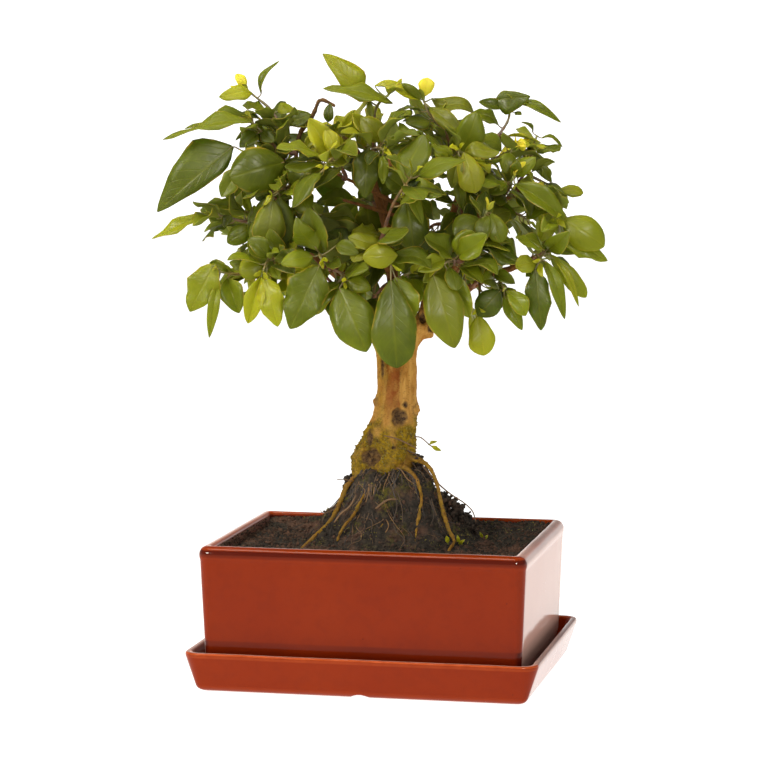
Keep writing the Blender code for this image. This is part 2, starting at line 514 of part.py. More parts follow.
def make_pot(parts, cutters):
    """The pot: slightly tapered, with a rounded bottom edge, a rolled rim and two drain holes."""
    base = SAUCER_FLOOR_Z + GAP
    floor = base + POT_FOOT + POT_FLOOR
    edge_inset = POT_TAPER + POT_EDGE
    profile = [(edge_inset + 8.0, base + POT_FOOT), (edge_inset + 7.0, base)]
    profile += arc(edge_inset, base + POT_EDGE, POT_EDGE, -90, 0, 3)
    profile += arc(RIM_ROUND + 0.1, POT_RIM_Z - RIM_ROUND, RIM_ROUND, 0, 90, 3)
    profile += [(POT_WALL - 0.5, POT_RIM_Z - 0.3), (POT_WALL, POT_RIM_Z - 1.1),
                (POT_WALL + 1.4, floor + 2.7), (POT_WALL + 2.5, floor + 0.6), (POT_WALL + 4.5, floor)]
    pot = vessel("pot", POT_LENGTH, POT_DEPTH, POT_CORNER, profile, parts)
    drills = [notch_cutter("pot_notch", base, POT_DEPTH, cutters)]
    for side in (-1, 1):
        bpy.ops.mesh.primitive_cylinder_add(
            vertices=14, radius=DRAIN_RADIUS * MM, depth=30 * MM,
            location=(side * DRAIN_X * MM, 0, floor * MM))
        drill = bpy.context.object
        drill.name = "drain_drill"
        cutters.objects.link(drill)
        drills.append(drill)
    boolean(pot, drills, "DIFFERENCE")
    return pot, floor


def make_drain_mesh(name, x, floor, parts):
    """A square of plastic mesh: a flat outline with square holes, extruded."""
    curve = bpy.data.curves.new(name, "CURVE")
    curve.dimensions = "2D"
    curve.fill_mode = "BOTH"
    curve.extrude = MESH_THICK / 2 * MM

    def square(cx, cy, half):
        spline = curve.splines.new("POLY")
        spline.points.add(3)
        corners = ((-1, -1), (1, -1), (1, 1), (-1, 1))
        for knot, (sx, sy) in zip(spline.points, corners):
            knot.co = ((cx + sx * half) * MM, (cy + sy * half) * MM, 0.0, 1.0)
        spline.use_cyclic_u = True

    square(0.0, 0.0, MESH_SIDE / 2)
    pitch = (MESH_SIDE - MESH_BAR) / MESH_CELLS
    for row in range(MESH_CELLS):
        for column in range(MESH_CELLS):
            square((column - (MESH_CELLS - 1) / 2) * pitch, (row - (MESH_CELLS - 1) / 2) * pitch,
                   (pitch - MESH_BAR) / 2)
    guide = mesh_object(name + "_guide", curve, parts)
    guide.location = (x * MM, 0.0, (floor + GAP + MESH_THICK / 2) * MM)
    bpy.context.view_layer.update()
    mesh = evaluated_mesh(guide)
    thing = mesh_object(name, mesh, parts)
    thing.matrix_world = guide.matrix_world
    bpy.data.objects.remove(guide, do_unlink=True)
    return thing


# Tree

def all_tubes(grow, collection):
    """Every stem, limb and root as a closed tube."""
    kinds = ((STEMS, STEM_BEVEL), (BURRS, LIMB_BEVEL), (CUT_STUBS, LIMB_BEVEL),
             (tuple(LIMBS.values()), LIMB_BEVEL), (ROOTS, ROOT_BEVEL))
    made = []
    for kind, bevel in kinds:
        for course in kind:
            points = [(tree_point(p[:3]), p[3]) for p in course]
            made.append(tube("wood", points, bevel, collection, grow))
    return made


def make_trunk(parts, cutters):
    """The three fused stems with their burrs, cut stubs, limbs and surface roots."""
    tubes = all_tubes(0.0, cutters)
    trunk = tubes[0]
    trunk.name = "trunk"
    cutters.objects.unlink(trunk)
    parts.objects.link(trunk)
    boolean(trunk, tubes[1:], "UNION")
    return trunk


def mound_height(distance):
    """Height of the root ball's surface at a distance from its middle."""
    for (near, high), (far, low) in zip(MOUND, MOUND[1:]):
        if distance <= far:
            share = (distance - near) / (far - near)
            return high + (low - high) * share
    return SOIL_Z


def soil_height(x, y):
    """Height of the soil at a world point, with small lumps."""
    cos, sin = math.cos(TREE_TURN), math.sin(TREE_TURN)
    across = x * cos + y * sin - MOUND_CENTRE[0]
    front = x * sin - y * cos - MOUND_CENTRE[1]
    stretch = MOUND_RIGHT_STRETCH if across > 0 else 1.0
    height = mound_height(math.hypot(across / stretch, front))
    lump = noise.noise(Vector((x, y, 3.0)) / SOIL_LUMP_SIZE)
    return height + SOIL_LUMP * lump


def make_soil(floor, parts, cutters):
    """The soil that fills the pot, with the root ball on it and plain holes for stem and roots."""
    half_x = POT_LENGTH / 2 - POT_WALL - GAP
    half_y = POT_DEPTH / 2 - POT_WALL - GAP
    corner_in = (1 - math.sqrt(0.5)) * 3.0
    bm = bmesh.new()
    bmesh.ops.create_grid(bm, x_segments=SOIL_CELLS[0], y_segments=SOIL_CELLS[1], size=1.0)
    for vert in bm.verts:
        u, v = vert.co.x, vert.co.y
        on_corner = abs(u) > 0.999 and abs(v) > 0.999
        x = (half_x - 0.2) * (0.6 * u + 0.4 * u ** 3)
        y = (half_y - 0.2) * (0.66 * v + 0.34 * v ** 3)
        if on_corner:
            x -= math.copysign(corner_in, u)
            y -= math.copysign(corner_in, v)
        vert.co = Vector((x, y, soil_height(x, y))) * MM
    border = [edge for edge in bm.edges if edge.is_boundary]
    inset_before = 0.2
    for inset, z in ((1.5, floor + 3.0), (4.8, floor + GAP)):
        grown = bmesh.ops.extrude_edge_only(bm, edges=border)["geom"]
        border = [item for item in grown if isinstance(item, bmesh.types.BMEdge) and item.is_boundary]
        shrink_x = (half_x - inset) / (half_x - inset_before)
        shrink_y = (half_y - inset) / (half_y - inset_before)
        for vert in {v for edge in border for v in edge.verts}:
            vert.co = Vector((vert.co.x * shrink_x, vert.co.y * shrink_y, z * MM))
        inset_before = inset
    bmesh.ops.contextual_create(bm, geom=border)
    soil = object_of(bm, "soil", parts)
    pockets = []
    for side in (-1, 1):
        bpy.ops.mesh.primitive_cube_add(size=1.0, location=(side * DRAIN_X * MM, 0, floor * MM))
        pocket = bpy.context.object
        pocket.name = "mesh_pocket"
        pocket.scale = ((MESH_SIDE + 2 * GAP) * MM, (MESH_SIDE + 2 * GAP) * MM,
                        2 * (MESH_THICK + 2 * GAP) * MM)
        cutters.objects.link(pocket)
        pockets.append(pocket)
    bpy.context.view_layer.update()
    boolean(soil, pockets, "DIFFERENCE")
    swollen = all_tubes(SOIL_HOLE_GAP, cutters)
    boolean(soil, swollen, "DIFFERENCE", "MANIFOLD")
    return soil


# Leafy sprays

def blade_solid(blade, grow=0.0, petiole=True):
    """Points and triangles of a thin arched blade on a keel, with its petiole's root in the twig."""
    along = blade.tip - blade.base
    length = along.length
    along = along / length
    across = blade.facing.cross(along).normalized()
    normal = along.cross(across)
    sections = []
    stations = BLADE_STATIONS if length > SMALL_BLADE else BLADE_STATIONS[1:]
    if petiole:
        reach = PETIOLE + grow
        lead = (blade.base - blade.root).normalized()
        side = blade.facing.cross(lead).normalized()
        top = lead.cross(side)
        sections.append((blade.root + (side + top * 0.6) * reach,
                         blade.root - (side - top * 0.6) * reach, blade.root - top * reach))
    elif length <= SMALL_BLADE:
        stations = ((0.0, SMALL_BASE), *stations)
    for place, share in stations:
        middle = blade.base + along * place * length
        middle = middle + normal * BLADE_ARCH * length * math.sin(math.pi * place)
        half = blade.width / 2 * share + grow
        thick = BLADE_THICK * min(1.0, 0.7 + share / 2) + grow
        lift = normal * (BLADE_THICK / 2 + grow)
        sections.append((middle + across * half + lift, middle - across * half + lift,
                         middle + lift - normal * (thick + grow)))
    points = [point for section in sections for point in section]
    faces = [(0, 2, 1)]
    for start in range(0, 3 * (len(sections) - 1), 3):
        for k in range(3):
            near, far = start + k, start + (k + 1) % 3
            faces += [(near, far + 3, near + 3), (near, far, far + 3)]
    end = 3 * (len(sections) - 1)
    points.append(blade.tip + along * grow)
    last = len(points) - 1
    faces += [(end, end + 1, last), (end + 1, end + 2, last), (end + 2, end, last)]
    return points, faces


def rod_solid(start, end, radius):
    """Points and triangles of a six-sided rod."""
    along = (end - start).normalized()
    side = along.orthogonal().normalized()
    other = along.cross(side)
    points = []
    for place in (start, end):
        for k in range(6):
            angle = k * math.pi / 3
            points.append(place + (side * math.cos(angle) + other * math.sin(angle)) * radius)
    faces = []
    for k in range(6):
        n = (k + 1) % 6
        faces += [(k, n, n + 6), (k, n + 6, k + 6)]
    return points, faces


class Crown:
    """The sprays as they are placed: each new blade or twig has to be clear of the others."""

    def __init__(self):
        self.obstacles = []
        self.anchors = []
        self.sprays = []
        for course in (*STEMS, *CUT_STUBS, *LIMBS.values()):
            places = [tree_point(p[:3]) for p in course]
            for k in range(len(places) - 1):
                radius = max(course[k][3], course[k + 1][3]) + GAP / 2
                self.add(rod_solid(places[k], places[k + 1], radius), None, False)

    def add(self, solid, spray, is_blade):
        """Remember a solid that later ones have to miss."""
        points, faces = solid
        low = Vector([min(p[i] for p in points) for i in range(3)])
        high = Vector([max(p[i] for p in points) for i in range(3)])
        self.obstacles.append(Obstacle(low, high, BVHTree.FromPolygons(points, faces), spray, is_blade))

    def clear(self, solid, spray):
        """Whether a solid misses all that is placed, apart from its own spray's twig."""
        points, faces = solid
        low = [min(p[i] for p in points) for i in range(3)]
        high = [max(p[i] for p in points) for i in range(3)]
        tree = None
        for item in self.obstacles:
            if item.spray == spray and spray is not None and not item.is_blade:
                continue
            if any(low[i] > item.high[i] or high[i] < item.low[i] for i in range(3)):
                continue
            tree = tree or BVHTree.FromPolygons(points, faces)
            if tree.overlap(item.tree):
                return False
        return True


def limb_axis_points():
    """(point, direction, radius) along every limb, a few millimetres apart."""
    found = []
    for course in LIMBS.values():
        for (*start, thick), (*end, thin) in zip(course, course[1:]):
            first, last = tree_point(start), tree_point(end)
            steps = max(2, round((last - first).length / 4.0))
            for k in range(steps):
                share = k / steps
                found.append((first.lerp(last, share), (last - first).normalized(),
                              thick + (thin - thick) * share))
    return found


def seated_twig(course, seat):
    """The twig's points from its seat on a limb: straight out first, then along its course."""
    place, direction, radius = seat
    out = course[1] - place
    out = (out - direction * out.dot(direction)).normalized()
    return [place + out * (radius + GAP), place + out * (radius + GAP + 2.0), *course[1:]]


def shown_twig(crown, course, axis_points, index):
    """A listed twig, seated on the nearest place of a limb where all of it is clear."""
    nearest = sorted(axis_points, key=lambda item: (item[0] - course[0]).length)
    for seat in nearest[:14]:
        twig = seated_twig(course, seat)
        if clear_twig(crown, twig, index):
            return twig
    return seated_twig(course, nearest[0])


def clear_twig(crown, twig, index):
    """Whether a twig misses all that is placed, its own limb included."""
    if not crown.clear(rod_solid(twig[0], twig[1], TWIG_RADIUS), index):
        return False
    return all(crown.clear(rod, index) for rod in twig_rods(twig[1:], CLEARANCE))


def twig_rods(points, grow=0.0):
    """The twig as rods between its points."""
    solids = []
    for k in range(len(points) - 1):
        solids.append(rod_solid(points[k], points[k + 1], TWIG_RADIUS + grow))
    return solids


def point_on(points, share):
    """(point, direction) at a share of a polyline's length."""
    lengths = [(b - a).length for a, b in zip(points, points[1:])]
    left = share * sum(lengths)
    for a, b, length in zip(points, points[1:], lengths):
        if left <= length:
            return a.lerp(b, left / length), (b - a) / length
        left -= length
    return points[-1].copy(), (points[-1] - points[-2]).normalized()


def nearest_on(points, target):
    """The point of a twig nearest to a target, not nearer its end than the twig is thick."""
    best = None
    for a, b in zip(points[1:], points[2:]):
        along = b - a
        share = max(0.0, min(0.98, (target - a).dot(along) / along.length_squared))
        place = a + along * share
        if best is None or (place - target).length < (best - target).length:
            best = place
    return best


def shown_blade(leaf, twig, shift):
    """The blade of a listed leaf, moved towards the front by a shift."""
    move = FRONT * shift
    base, tip = tree_point(leaf.base) + move, tree_point(leaf.tip) + move
    root = nearest_on(twig, base)
    if (base - root).length < SHORT_PETIOLE:
        base = root + (tip - root).normalized() * SHORT_PETIOLE
    tilt = math.radians(leaf.tilt)
    facing = FRONT * math.cos(tilt) + UP * math.sin(tilt)
    return Blade(root, base, tip, leaf.width, facing)


def free_blade(draw, twig, share, turn, size):
    """The blade of a leaf that grows at a place on a twig, turned about it."""
    root, along = point_on(twig, share)
    side = along.cross(UP)
    side = side.normalized() if side.length > 0.05 else Vector((1.0, 0.0, 0.0))
    other = side.cross(along).normalized()
    out = side * math.cos(turn) + other * math.sin(turn)
    centre = tree_point(CROWN_CENTRE)
    outward = (root - centre).normalized()
    lean = draw.uniform(0.35, 0.75)
    heading = (out + along * lean + outward * 0.35 - UP * draw.uniform(0.0, 0.35)).normalized()
    length = size * draw.uniform(0.88, 1.08)
    base = root + heading * (SHORT_PETIOLE + 0.08 * length)
    facing = (UP * 0.75 + outward * 0.65 + out * draw.uniform(-0.3, 0.3)).normalized()
    if abs(facing.dot(heading)) > 0.85:
        facing = (facing + along).normalized()
    return Blade(root, base, base + heading * length, length * draw.uniform(*LEAF_WIDTH), facing)


def place_blade(crown, spray, blade, blades):
    """Add the blade to its spray if it is clear of the others."""
    if not crown.clear(blade_solid(blade, CLEARANCE, petiole=False), spray):
        return False
    stalk = rod_solid(blade.root, blade.base, PETIOLE + CLEARANCE)
    for item in crown.obstacles:
        if item.spray != spray and BVHTree.FromPolygons(*stalk).overlap(item.tree):
            return False
    blades.append(blade)
    crown.add(blade_solid(blade), spray, True)
    return True


def grow_pairs(crown, draw, spray, twig, blades, first, last, size):
    """Opposite leaves along a stretch of a twig, each pair turned a quarter from the one before."""
    length = sum((b - a).length for a, b in zip(twig, twig[1:]))
    count = max(1, round((last - first) * length / PAIR_SPACING))
    quarter = draw.uniform(0.0, math.pi)
    for k in range(count + 1):
        share = first + (last - first) * k / count
        near_tip = 1.0 - 0.3 * share
        for half in (0.0, math.pi):
            for attempt in range(9):
                turn = quarter + half + draw.uniform(-0.5, 0.5) * (1 + attempt / 3)
                blade = free_blade(draw, twig, share, turn, size * near_tip * (1 - 0.035 * attempt))
                if not inside_crown(blade.tip) or in_window(blade):
                    continue
                if place_blade(crown, spray, blade, blades):
                    break
        quarter += math.pi / 2


def in_window(blade):
    """Whether a blade would fill one of the gaps that the front shows."""
    across = blade.facing.cross(blade.tip - blade.base).normalized() * blade.width / 2
    middle = blade.base.lerp(blade.tip, 0.45)
    cos, sin = math.cos(TREE_TURN), math.sin(TREE_TURN)
    end = blade.base.lerp(blade.tip, 0.75)
    for place in (blade.base, middle - across, middle, middle + across, end, blade.tip):
        front = place.x * sin - place.y * cos
        nearer = (EYE[1] - SEEN_AT) / (EYE[1] - front)
        side = EYE[0] + (place.x * cos + place.y * sin - EYE[0]) * nearer
        up = EYE[2] + (place.z - EYE[2]) * nearer
        for left, right, low, high, least in WINDOWS:
            if left < side < right and low < up < high and front > least:
                return True
    return False


def inside_crown(place):
    """Whether a leaf's tip stays in the crown's outline."""
    if abs(place.y) > CROWN_DEEPEST:
        return False
    offset = place - tree_point(CROWN_CENTRE)
    cos, sin = math.cos(TREE_TURN), math.sin(TREE_TURN)
    across = (offset.x * cos + offset.y * sin) / CROWN_HALF[0]
    front = (offset.x * sin - offset.y * cos) / CROWN_HALF[1]
    up = offset.z / CROWN_HALF[2]
    return across ** 2 + front ** 2 + up ** 2 < 1.12


def targets(count, scale):
    """Points spread evenly over the crown's outline, as a Fibonacci spiral."""
    golden = math.pi * (3 - math.sqrt(5))
    spread = []
    for k in range(count):
        up = 1 - 2 * (k + 0.5) / count
        ring = math.sqrt(1 - up * up)
        spread.append(tree_point((
            CROWN_CENTRE[0] + CROWN_HALF[0] * scale * ring * math.cos(k * golden),
            CROWN_CENTRE[1] + CROWN_HALF[1] * scale * ring * math.sin(k * golden),
            CROWN_CENTRE[2] + CROWN_HALF[2] * scale * up,
        )))
    return spread


def grow_crown():
    """Every spray as (twig points, blades): the shown ones first, then the rest by rule."""
    crown = Crown()
    draw = random.Random(SEED)
    axis_points = limb_axis_points()
    twigs = []
    for index, spray in enumerate(SHOWN_SPRAYS):
        twig = shown_twig(crown, [tree_point(p) for p in spray.twig], axis_points, index)
        twigs.append(twig)
        for rod in twig_rods(twig):
            crown.add(rod, index, False)
    grown = []
    for index, spray in enumerate(SHOWN_SPRAYS):
        blades = []
        for leaf in spray.leaves:
            for shift in (0, 2, -2, 4, -4, 6, -6, 9, -9):
                if place_blade(crown, index, shown_blade(leaf, twigs[index], shift), blades):
                    break
        grown.append((twigs[index], blades))
    for index, (twig, blades) in enumerate(grown):
        grow_pairs(crown, draw, index, twig, blades, 0.25, 0.6, INNER_LEAF)
    spread = targets(110, 0.8) + targets(50, 0.55)
    seats = [twig[0] for twig in twigs]
    while len(grown) < MOST_SPRAYS and spread:
        centres = [blade.base.lerp(blade.tip, 0.5) for _, blades in grown for blade in blades]
        if len(centres) >= MOST_LEAVES:
            break
        goal = max(spread, key=lambda p: min((c - p).length for c in centres))
        spread.remove(goal)
        twig = free_twig(crown, draw, goal, axis_points, seats, len(grown))
        if twig is None:
            continue
        seats.append(twig[0])
        index = len(grown)
        for rod in twig_rods(twig):
            crown.add(rod, index, False)
        blades = []
        grow_pairs(crown, draw, index, twig, blades, 0.3, 0.97, OUTER_LEAF)
        if blades:
            grown.append((twig, blades))
        else:
            seats.pop()
    return grown


def free_twig(crown, draw, goal, axis_points, seats, index):
    """A twig from a limb to a goal that is clear of all that is placed, or None."""
    ranked = sorted(axis_points, key=lambda item: abs((item[0] - goal).length - 34.0))
    for place, direction, radius in ranked[:26]:
        if min((place - seat).length for seat in seats) < 6.0:
            continue
        if (goal - place).length < 16.0 or (goal - place).length > 62.0:
            continue
        bow = UP * draw.uniform(2.0, 9.0)
        course = [place, place.lerp(goal, 0.5) + bow, goal]
        twig = seated_twig(course, (place, direction, radius))
        if clear_twig(crown, twig, index):
            return twig
    return None


def make_sprays(parts, cutters, finish):
    """One solid for each spray: its twig with its leaves fused on."""
    for number, (twig, blades) in enumerate(grow_crown(), start=1):
        name = f"spray_{number:02d}"
        steps = len(twig) - 1
        course = [
            (place, TWIG_RADIUS + (TWIG_TIP_RADIUS - TWIG_RADIUS) * k / steps)
            for k, place in enumerate(twig)
        ]
        spray = tube(name, course, 0, parts)
        leaves = []
        for blade in blades:
            points, faces = blade_solid(blade)
            mesh = bpy.data.meshes.new("blade")
            mesh.from_pydata([point * MM for point in points], [], faces)
            leaves.append(mesh_object("blade", mesh, cutters))
        boolean(spray, leaves, "UNION", "MANIFOLD")
        shade(spray, finish, smooth=False)


def main():
    """Build every piece of the bonsai."""
    clear_scene()
    parts = new_collection("indoor bonsai tree")
    cutters = new_collection("cutters")
    glaze = material("red glaze", (0.30, 0.035, 0.010), 0.12)
    bark = material("bark", (0.42, 0.27, 0.12), 0.75)
    leaf = material("privet leaf", (0.10, 0.17, 0.02), 0.35)
    peat = material("peat soil", (0.035, 0.025, 0.018), 0.95)
    plastic = material("drain mesh plastic", (0.02, 0.02, 0.02), 0.5)

    shade(make_saucer(parts, cutters), glaze)
    pot, floor = make_pot(parts, cutters)
    shade(pot, glaze)
    for number, side in enumerate((-1, 1), start=1):
        shade(make_drain_mesh(f"drain_mesh_{number}", side * DRAIN_X, floor, parts), plastic, False)
    shade(make_soil(floor, parts, cutters), peat, False)
    shade(make_trunk(parts, cutters), bark)
    make_sprays(parts, cutters, leaf)


main()
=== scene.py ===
"""The looks of an indoor bonsai: a small-leaved privet in a glazed planter on its saucer.

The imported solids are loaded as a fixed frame, in metres: +X along the planter, +Y to its back, +Z
up. The pieces here stand for those solids with fine surfaces. Lengths are in millimetres until a
mesh is made. The tree is turned in its planter, so its own points are (across, towards the front,
up) in a turned frame, the tree frame.
"""
from __future__ import annotations

import logging
import math
import random
from collections.abc import Iterable, Sequence
from dataclasses import dataclass, field, replace
from enum import Enum

import bmesh
import bpy
import numpy as np
from mathutils import Matrix, Vector, noise
from mathutils.bvhtree import BVHTree
from mathutils.kdtree import KDTree

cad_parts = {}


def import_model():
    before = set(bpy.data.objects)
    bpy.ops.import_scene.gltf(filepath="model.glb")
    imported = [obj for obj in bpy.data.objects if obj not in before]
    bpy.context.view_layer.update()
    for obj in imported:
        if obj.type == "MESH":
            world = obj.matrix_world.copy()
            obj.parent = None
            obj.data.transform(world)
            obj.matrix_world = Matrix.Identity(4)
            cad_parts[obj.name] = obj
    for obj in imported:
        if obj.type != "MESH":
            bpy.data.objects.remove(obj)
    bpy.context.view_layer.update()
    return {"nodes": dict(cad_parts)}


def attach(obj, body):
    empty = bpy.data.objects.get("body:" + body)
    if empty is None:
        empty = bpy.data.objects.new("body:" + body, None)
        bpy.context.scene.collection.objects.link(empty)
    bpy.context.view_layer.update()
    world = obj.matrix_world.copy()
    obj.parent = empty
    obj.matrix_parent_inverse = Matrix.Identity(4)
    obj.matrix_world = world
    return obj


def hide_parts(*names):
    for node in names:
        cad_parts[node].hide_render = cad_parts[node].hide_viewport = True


LOG = logging.getLogger("bonsai")
Point = tuple[float, float, float]
Solid = tuple[list[Vector], list[tuple[int, ...]]]

MM = 0.001
BODY = "root"
GAP = 0.3  # between two solids that touch
TREE_TURN = math.radians(12.43)
TREE_COS, TREE_SIN = math.cos(TREE_TURN), math.sin(TREE_TURN)
UP = Vector((0.0, 0.0, 1.0))

# Planter and soil
POT_LENGTH, POT_DEPTH, POT_CORNER = 151.5, 118.0, 5.5
POT_RIM_Z = 66.8
POT_WALL, POT_FLOOR, POT_FOOT = 6.0, 5.0, 2.0
POT_TAPER, POT_EDGE = 2.6, 6.0
DRAIN_X, DRAIN_RADIUS = 34.0, 5.0
SAUCER_LENGTH, SAUCER_DEPTH, SAUCER_CORNER = 164.0, 130.0, 8.0
SAUCER_HEIGHT, SAUCER_FLOOR_Z, SAUCER_FOOT = 18.7, 6.5, 2.5
FOOT_RING_IN, FOOT_RING_OUT = 13.0, 8.0
NOTCH_WIDTH, NOTCH_HEIGHT = 9.0, 1.6
MESH_THICK = 1.2
POT_BASE_Z = SAUCER_FLOOR_Z + GAP
POT_FLOOR_Z = POT_BASE_Z + POT_FOOT + POT_FLOOR
SOIL_Z = 60.5
SOIL_LUMP, SOIL_LUMP_SIZE = 1.1, 7.0
THREAD_SIDES = 5  # of thin roots
TRUNK_FOOT = 13.0  # no crumbs or moss on the peat this near to the trunk's axis
MOUND_CENTRE = (0.0, 1.0)
MOUND_RIGHT_STRETCH = 1.16
MOUND = ((0, 97), (13, 96), (17.5, 91), (22, 83), (27, 75), (33, 68),
         (41, 62.5), (50, 60.5))

# Crown
CROWN_CENTRE = (-1.0, 0.0, 216.0)
CROWN_HALF = (99.0, 72.0, 58.0)
CROWN_REACH, CROWN_DEEPEST = 1.12, 67.0
TWIG_RADIUS = 0.9
PETIOLE, SHORT_PETIOLE = 0.42, 2.4
BLADE_THICK = 1.25
BLADE_STATIONS = ((0.06, 0.15), (0.33, 1.0), (0.66, 0.78))
SMALL_BLADE, SMALL_BASE = 21.0, 0.45
BLADE_ARCH = 0.09
CLEARANCE, FILLER_CLEARANCE = 0.45, 0.15
MOST_LEAVES, MOST_SPRAYS = 305, 54
PAIR_SPACING, FILLER_SPACING = 11.0, 5.0
TWIGS_APART = 6.0
SHIFTS = (0, 2, -2, 4, -4, 6, -6, 9, -9)  # towards the front, as a leaf tries them in order
OUTER_GOALS, INNER_GOALS = (110, 0.8), (50, 0.55)  # how many, and their share of the outline's size
SHORTEST_TWIG, USUAL_TWIG, LONGEST_TWIG = 16.0, 34.0, 62.0
INNER_LEAF, OUTER_LEAF = 25.0, 29.0
FILLER_LEAF = (13.0, 20.0)
LEAF_WIDTH = (0.57, 0.68)
SEED = 20
EYE = (-2.9, 1330.0, 276.0)  # where the photo is seen from, in the tree frame
SEEN_AT = 25.0  # the gaps are given in the upright plane this far towards the front

# Gaps in the crown as the front shows them: from and to across, from and to up. The first is a
# hollow with bare twigs in it, and leaves may stand behind those.
HOLLOW_FRONT = 8.0
WINDOWS = (
    (-24, 6, 212, 234), (-23.5, -14, 225.5, 231), (-100, -68, 250.5, 256), (-112, -68, 196.5, 203.5),
    (-69.5, -65.5, 211.5, 216.5), (-33, -25.5, 258.5, 266), (-22, -14, 263.5, 267.5),
    (-5.5, 2, 260.5, 266), (1, 11, 264.5, 270), (48, 58, 254, 263), (66, 73, 229, 236),
    (65, 92, 252.5, 263), (71, 79, 247.5, 251.5), (77.5, 104, 229.5, 246), (84, 104, 218.5, 224.5),
    (37.5, 44.5, 176, 184.5), (54.5, 63, 180, 191.5), (73.5, 78, 168, 184), (86, 108, 172, 193),
    (-5.5, -1, 181.5, 193), (0, 4, 185, 190.5), (-12, -5.5, 175.5, 179.5), (-41, -38.5, 216, 219),
)

# The courses of the wood and of single roots, with rows of across, front, up and radius
STEMS = (
    ((-5.5, 1, 80, 8.6), (-6.3, 1, 92, 8.8), (-7.0, 1, 101, 8.6), (-4.6, 1, 111, 6.6),
     (-2.6, 1, 121, 4.4), (-1.6, 1, 131, 3.1), (-1.9, 0.5, 145, 2.5), (-4, 0, 160, 2.4),
     (-10, -2, 172, 2.4)),
    ((0, 2.5, 80, 9.0), (0, 3.5, 93, 8.6), (0.5, 3.5, 104, 7.6), (1.5, 2.5, 116, 5.6),
     (2.4, 2, 127, 4.0), (3.2, 1.5, 140, 3.0), (3.2, 0, 160, 2.7), (2.6, -1, 176, 2.5)),
    ((3.5, -1, 80, 8.8), (4.0, -1, 93, 8.7), (6.2, -1, 104, 7.4), (8.2, -0.5, 116, 6.0),
     (9.2, 0, 128, 5.0), (9.9, 0, 141, 4.2), (10.9, 0, 153, 3.7), (13.2, 0, 160, 4.4),
     (17, -1, 168, 3.8)),
)
BURRS = (
    ((2, 4, 106, 4.0), (7, 10.3, 104, 3.0)),
    ((-7, 4, 104, 5.0), (-10, 9.0, 103, 4.4)),
    ((-6, 2, 96, 6.0), (-12.6, 5.0, 94.5, 3.6)),
    ((2, 3, 119, 3.0), (6.2, 6.4, 121, 2.2)),
    ((9, 1, 125, 3.0), (13.6, 2.0, 125.3, 2.1)),
    ((-3, 1, 127, 2.5), (-5.2, 2.0, 127.6, 1.4)),
)
CUT_STUBS = (
    ((14, 0, 161, 3.2), (12.9, 7.0, 165.5, 2.5)),
    ((15, 0, 161, 3.2), (19.5, 5.5, 164.0, 2.3)),
    ((15, -1, 160, 3.0), (21.5, 1.5, 160.5, 2.0)),
    ((8.6, 6, 215, 1.8), (11.5, 13.5, 223.5, 2.3)),
)
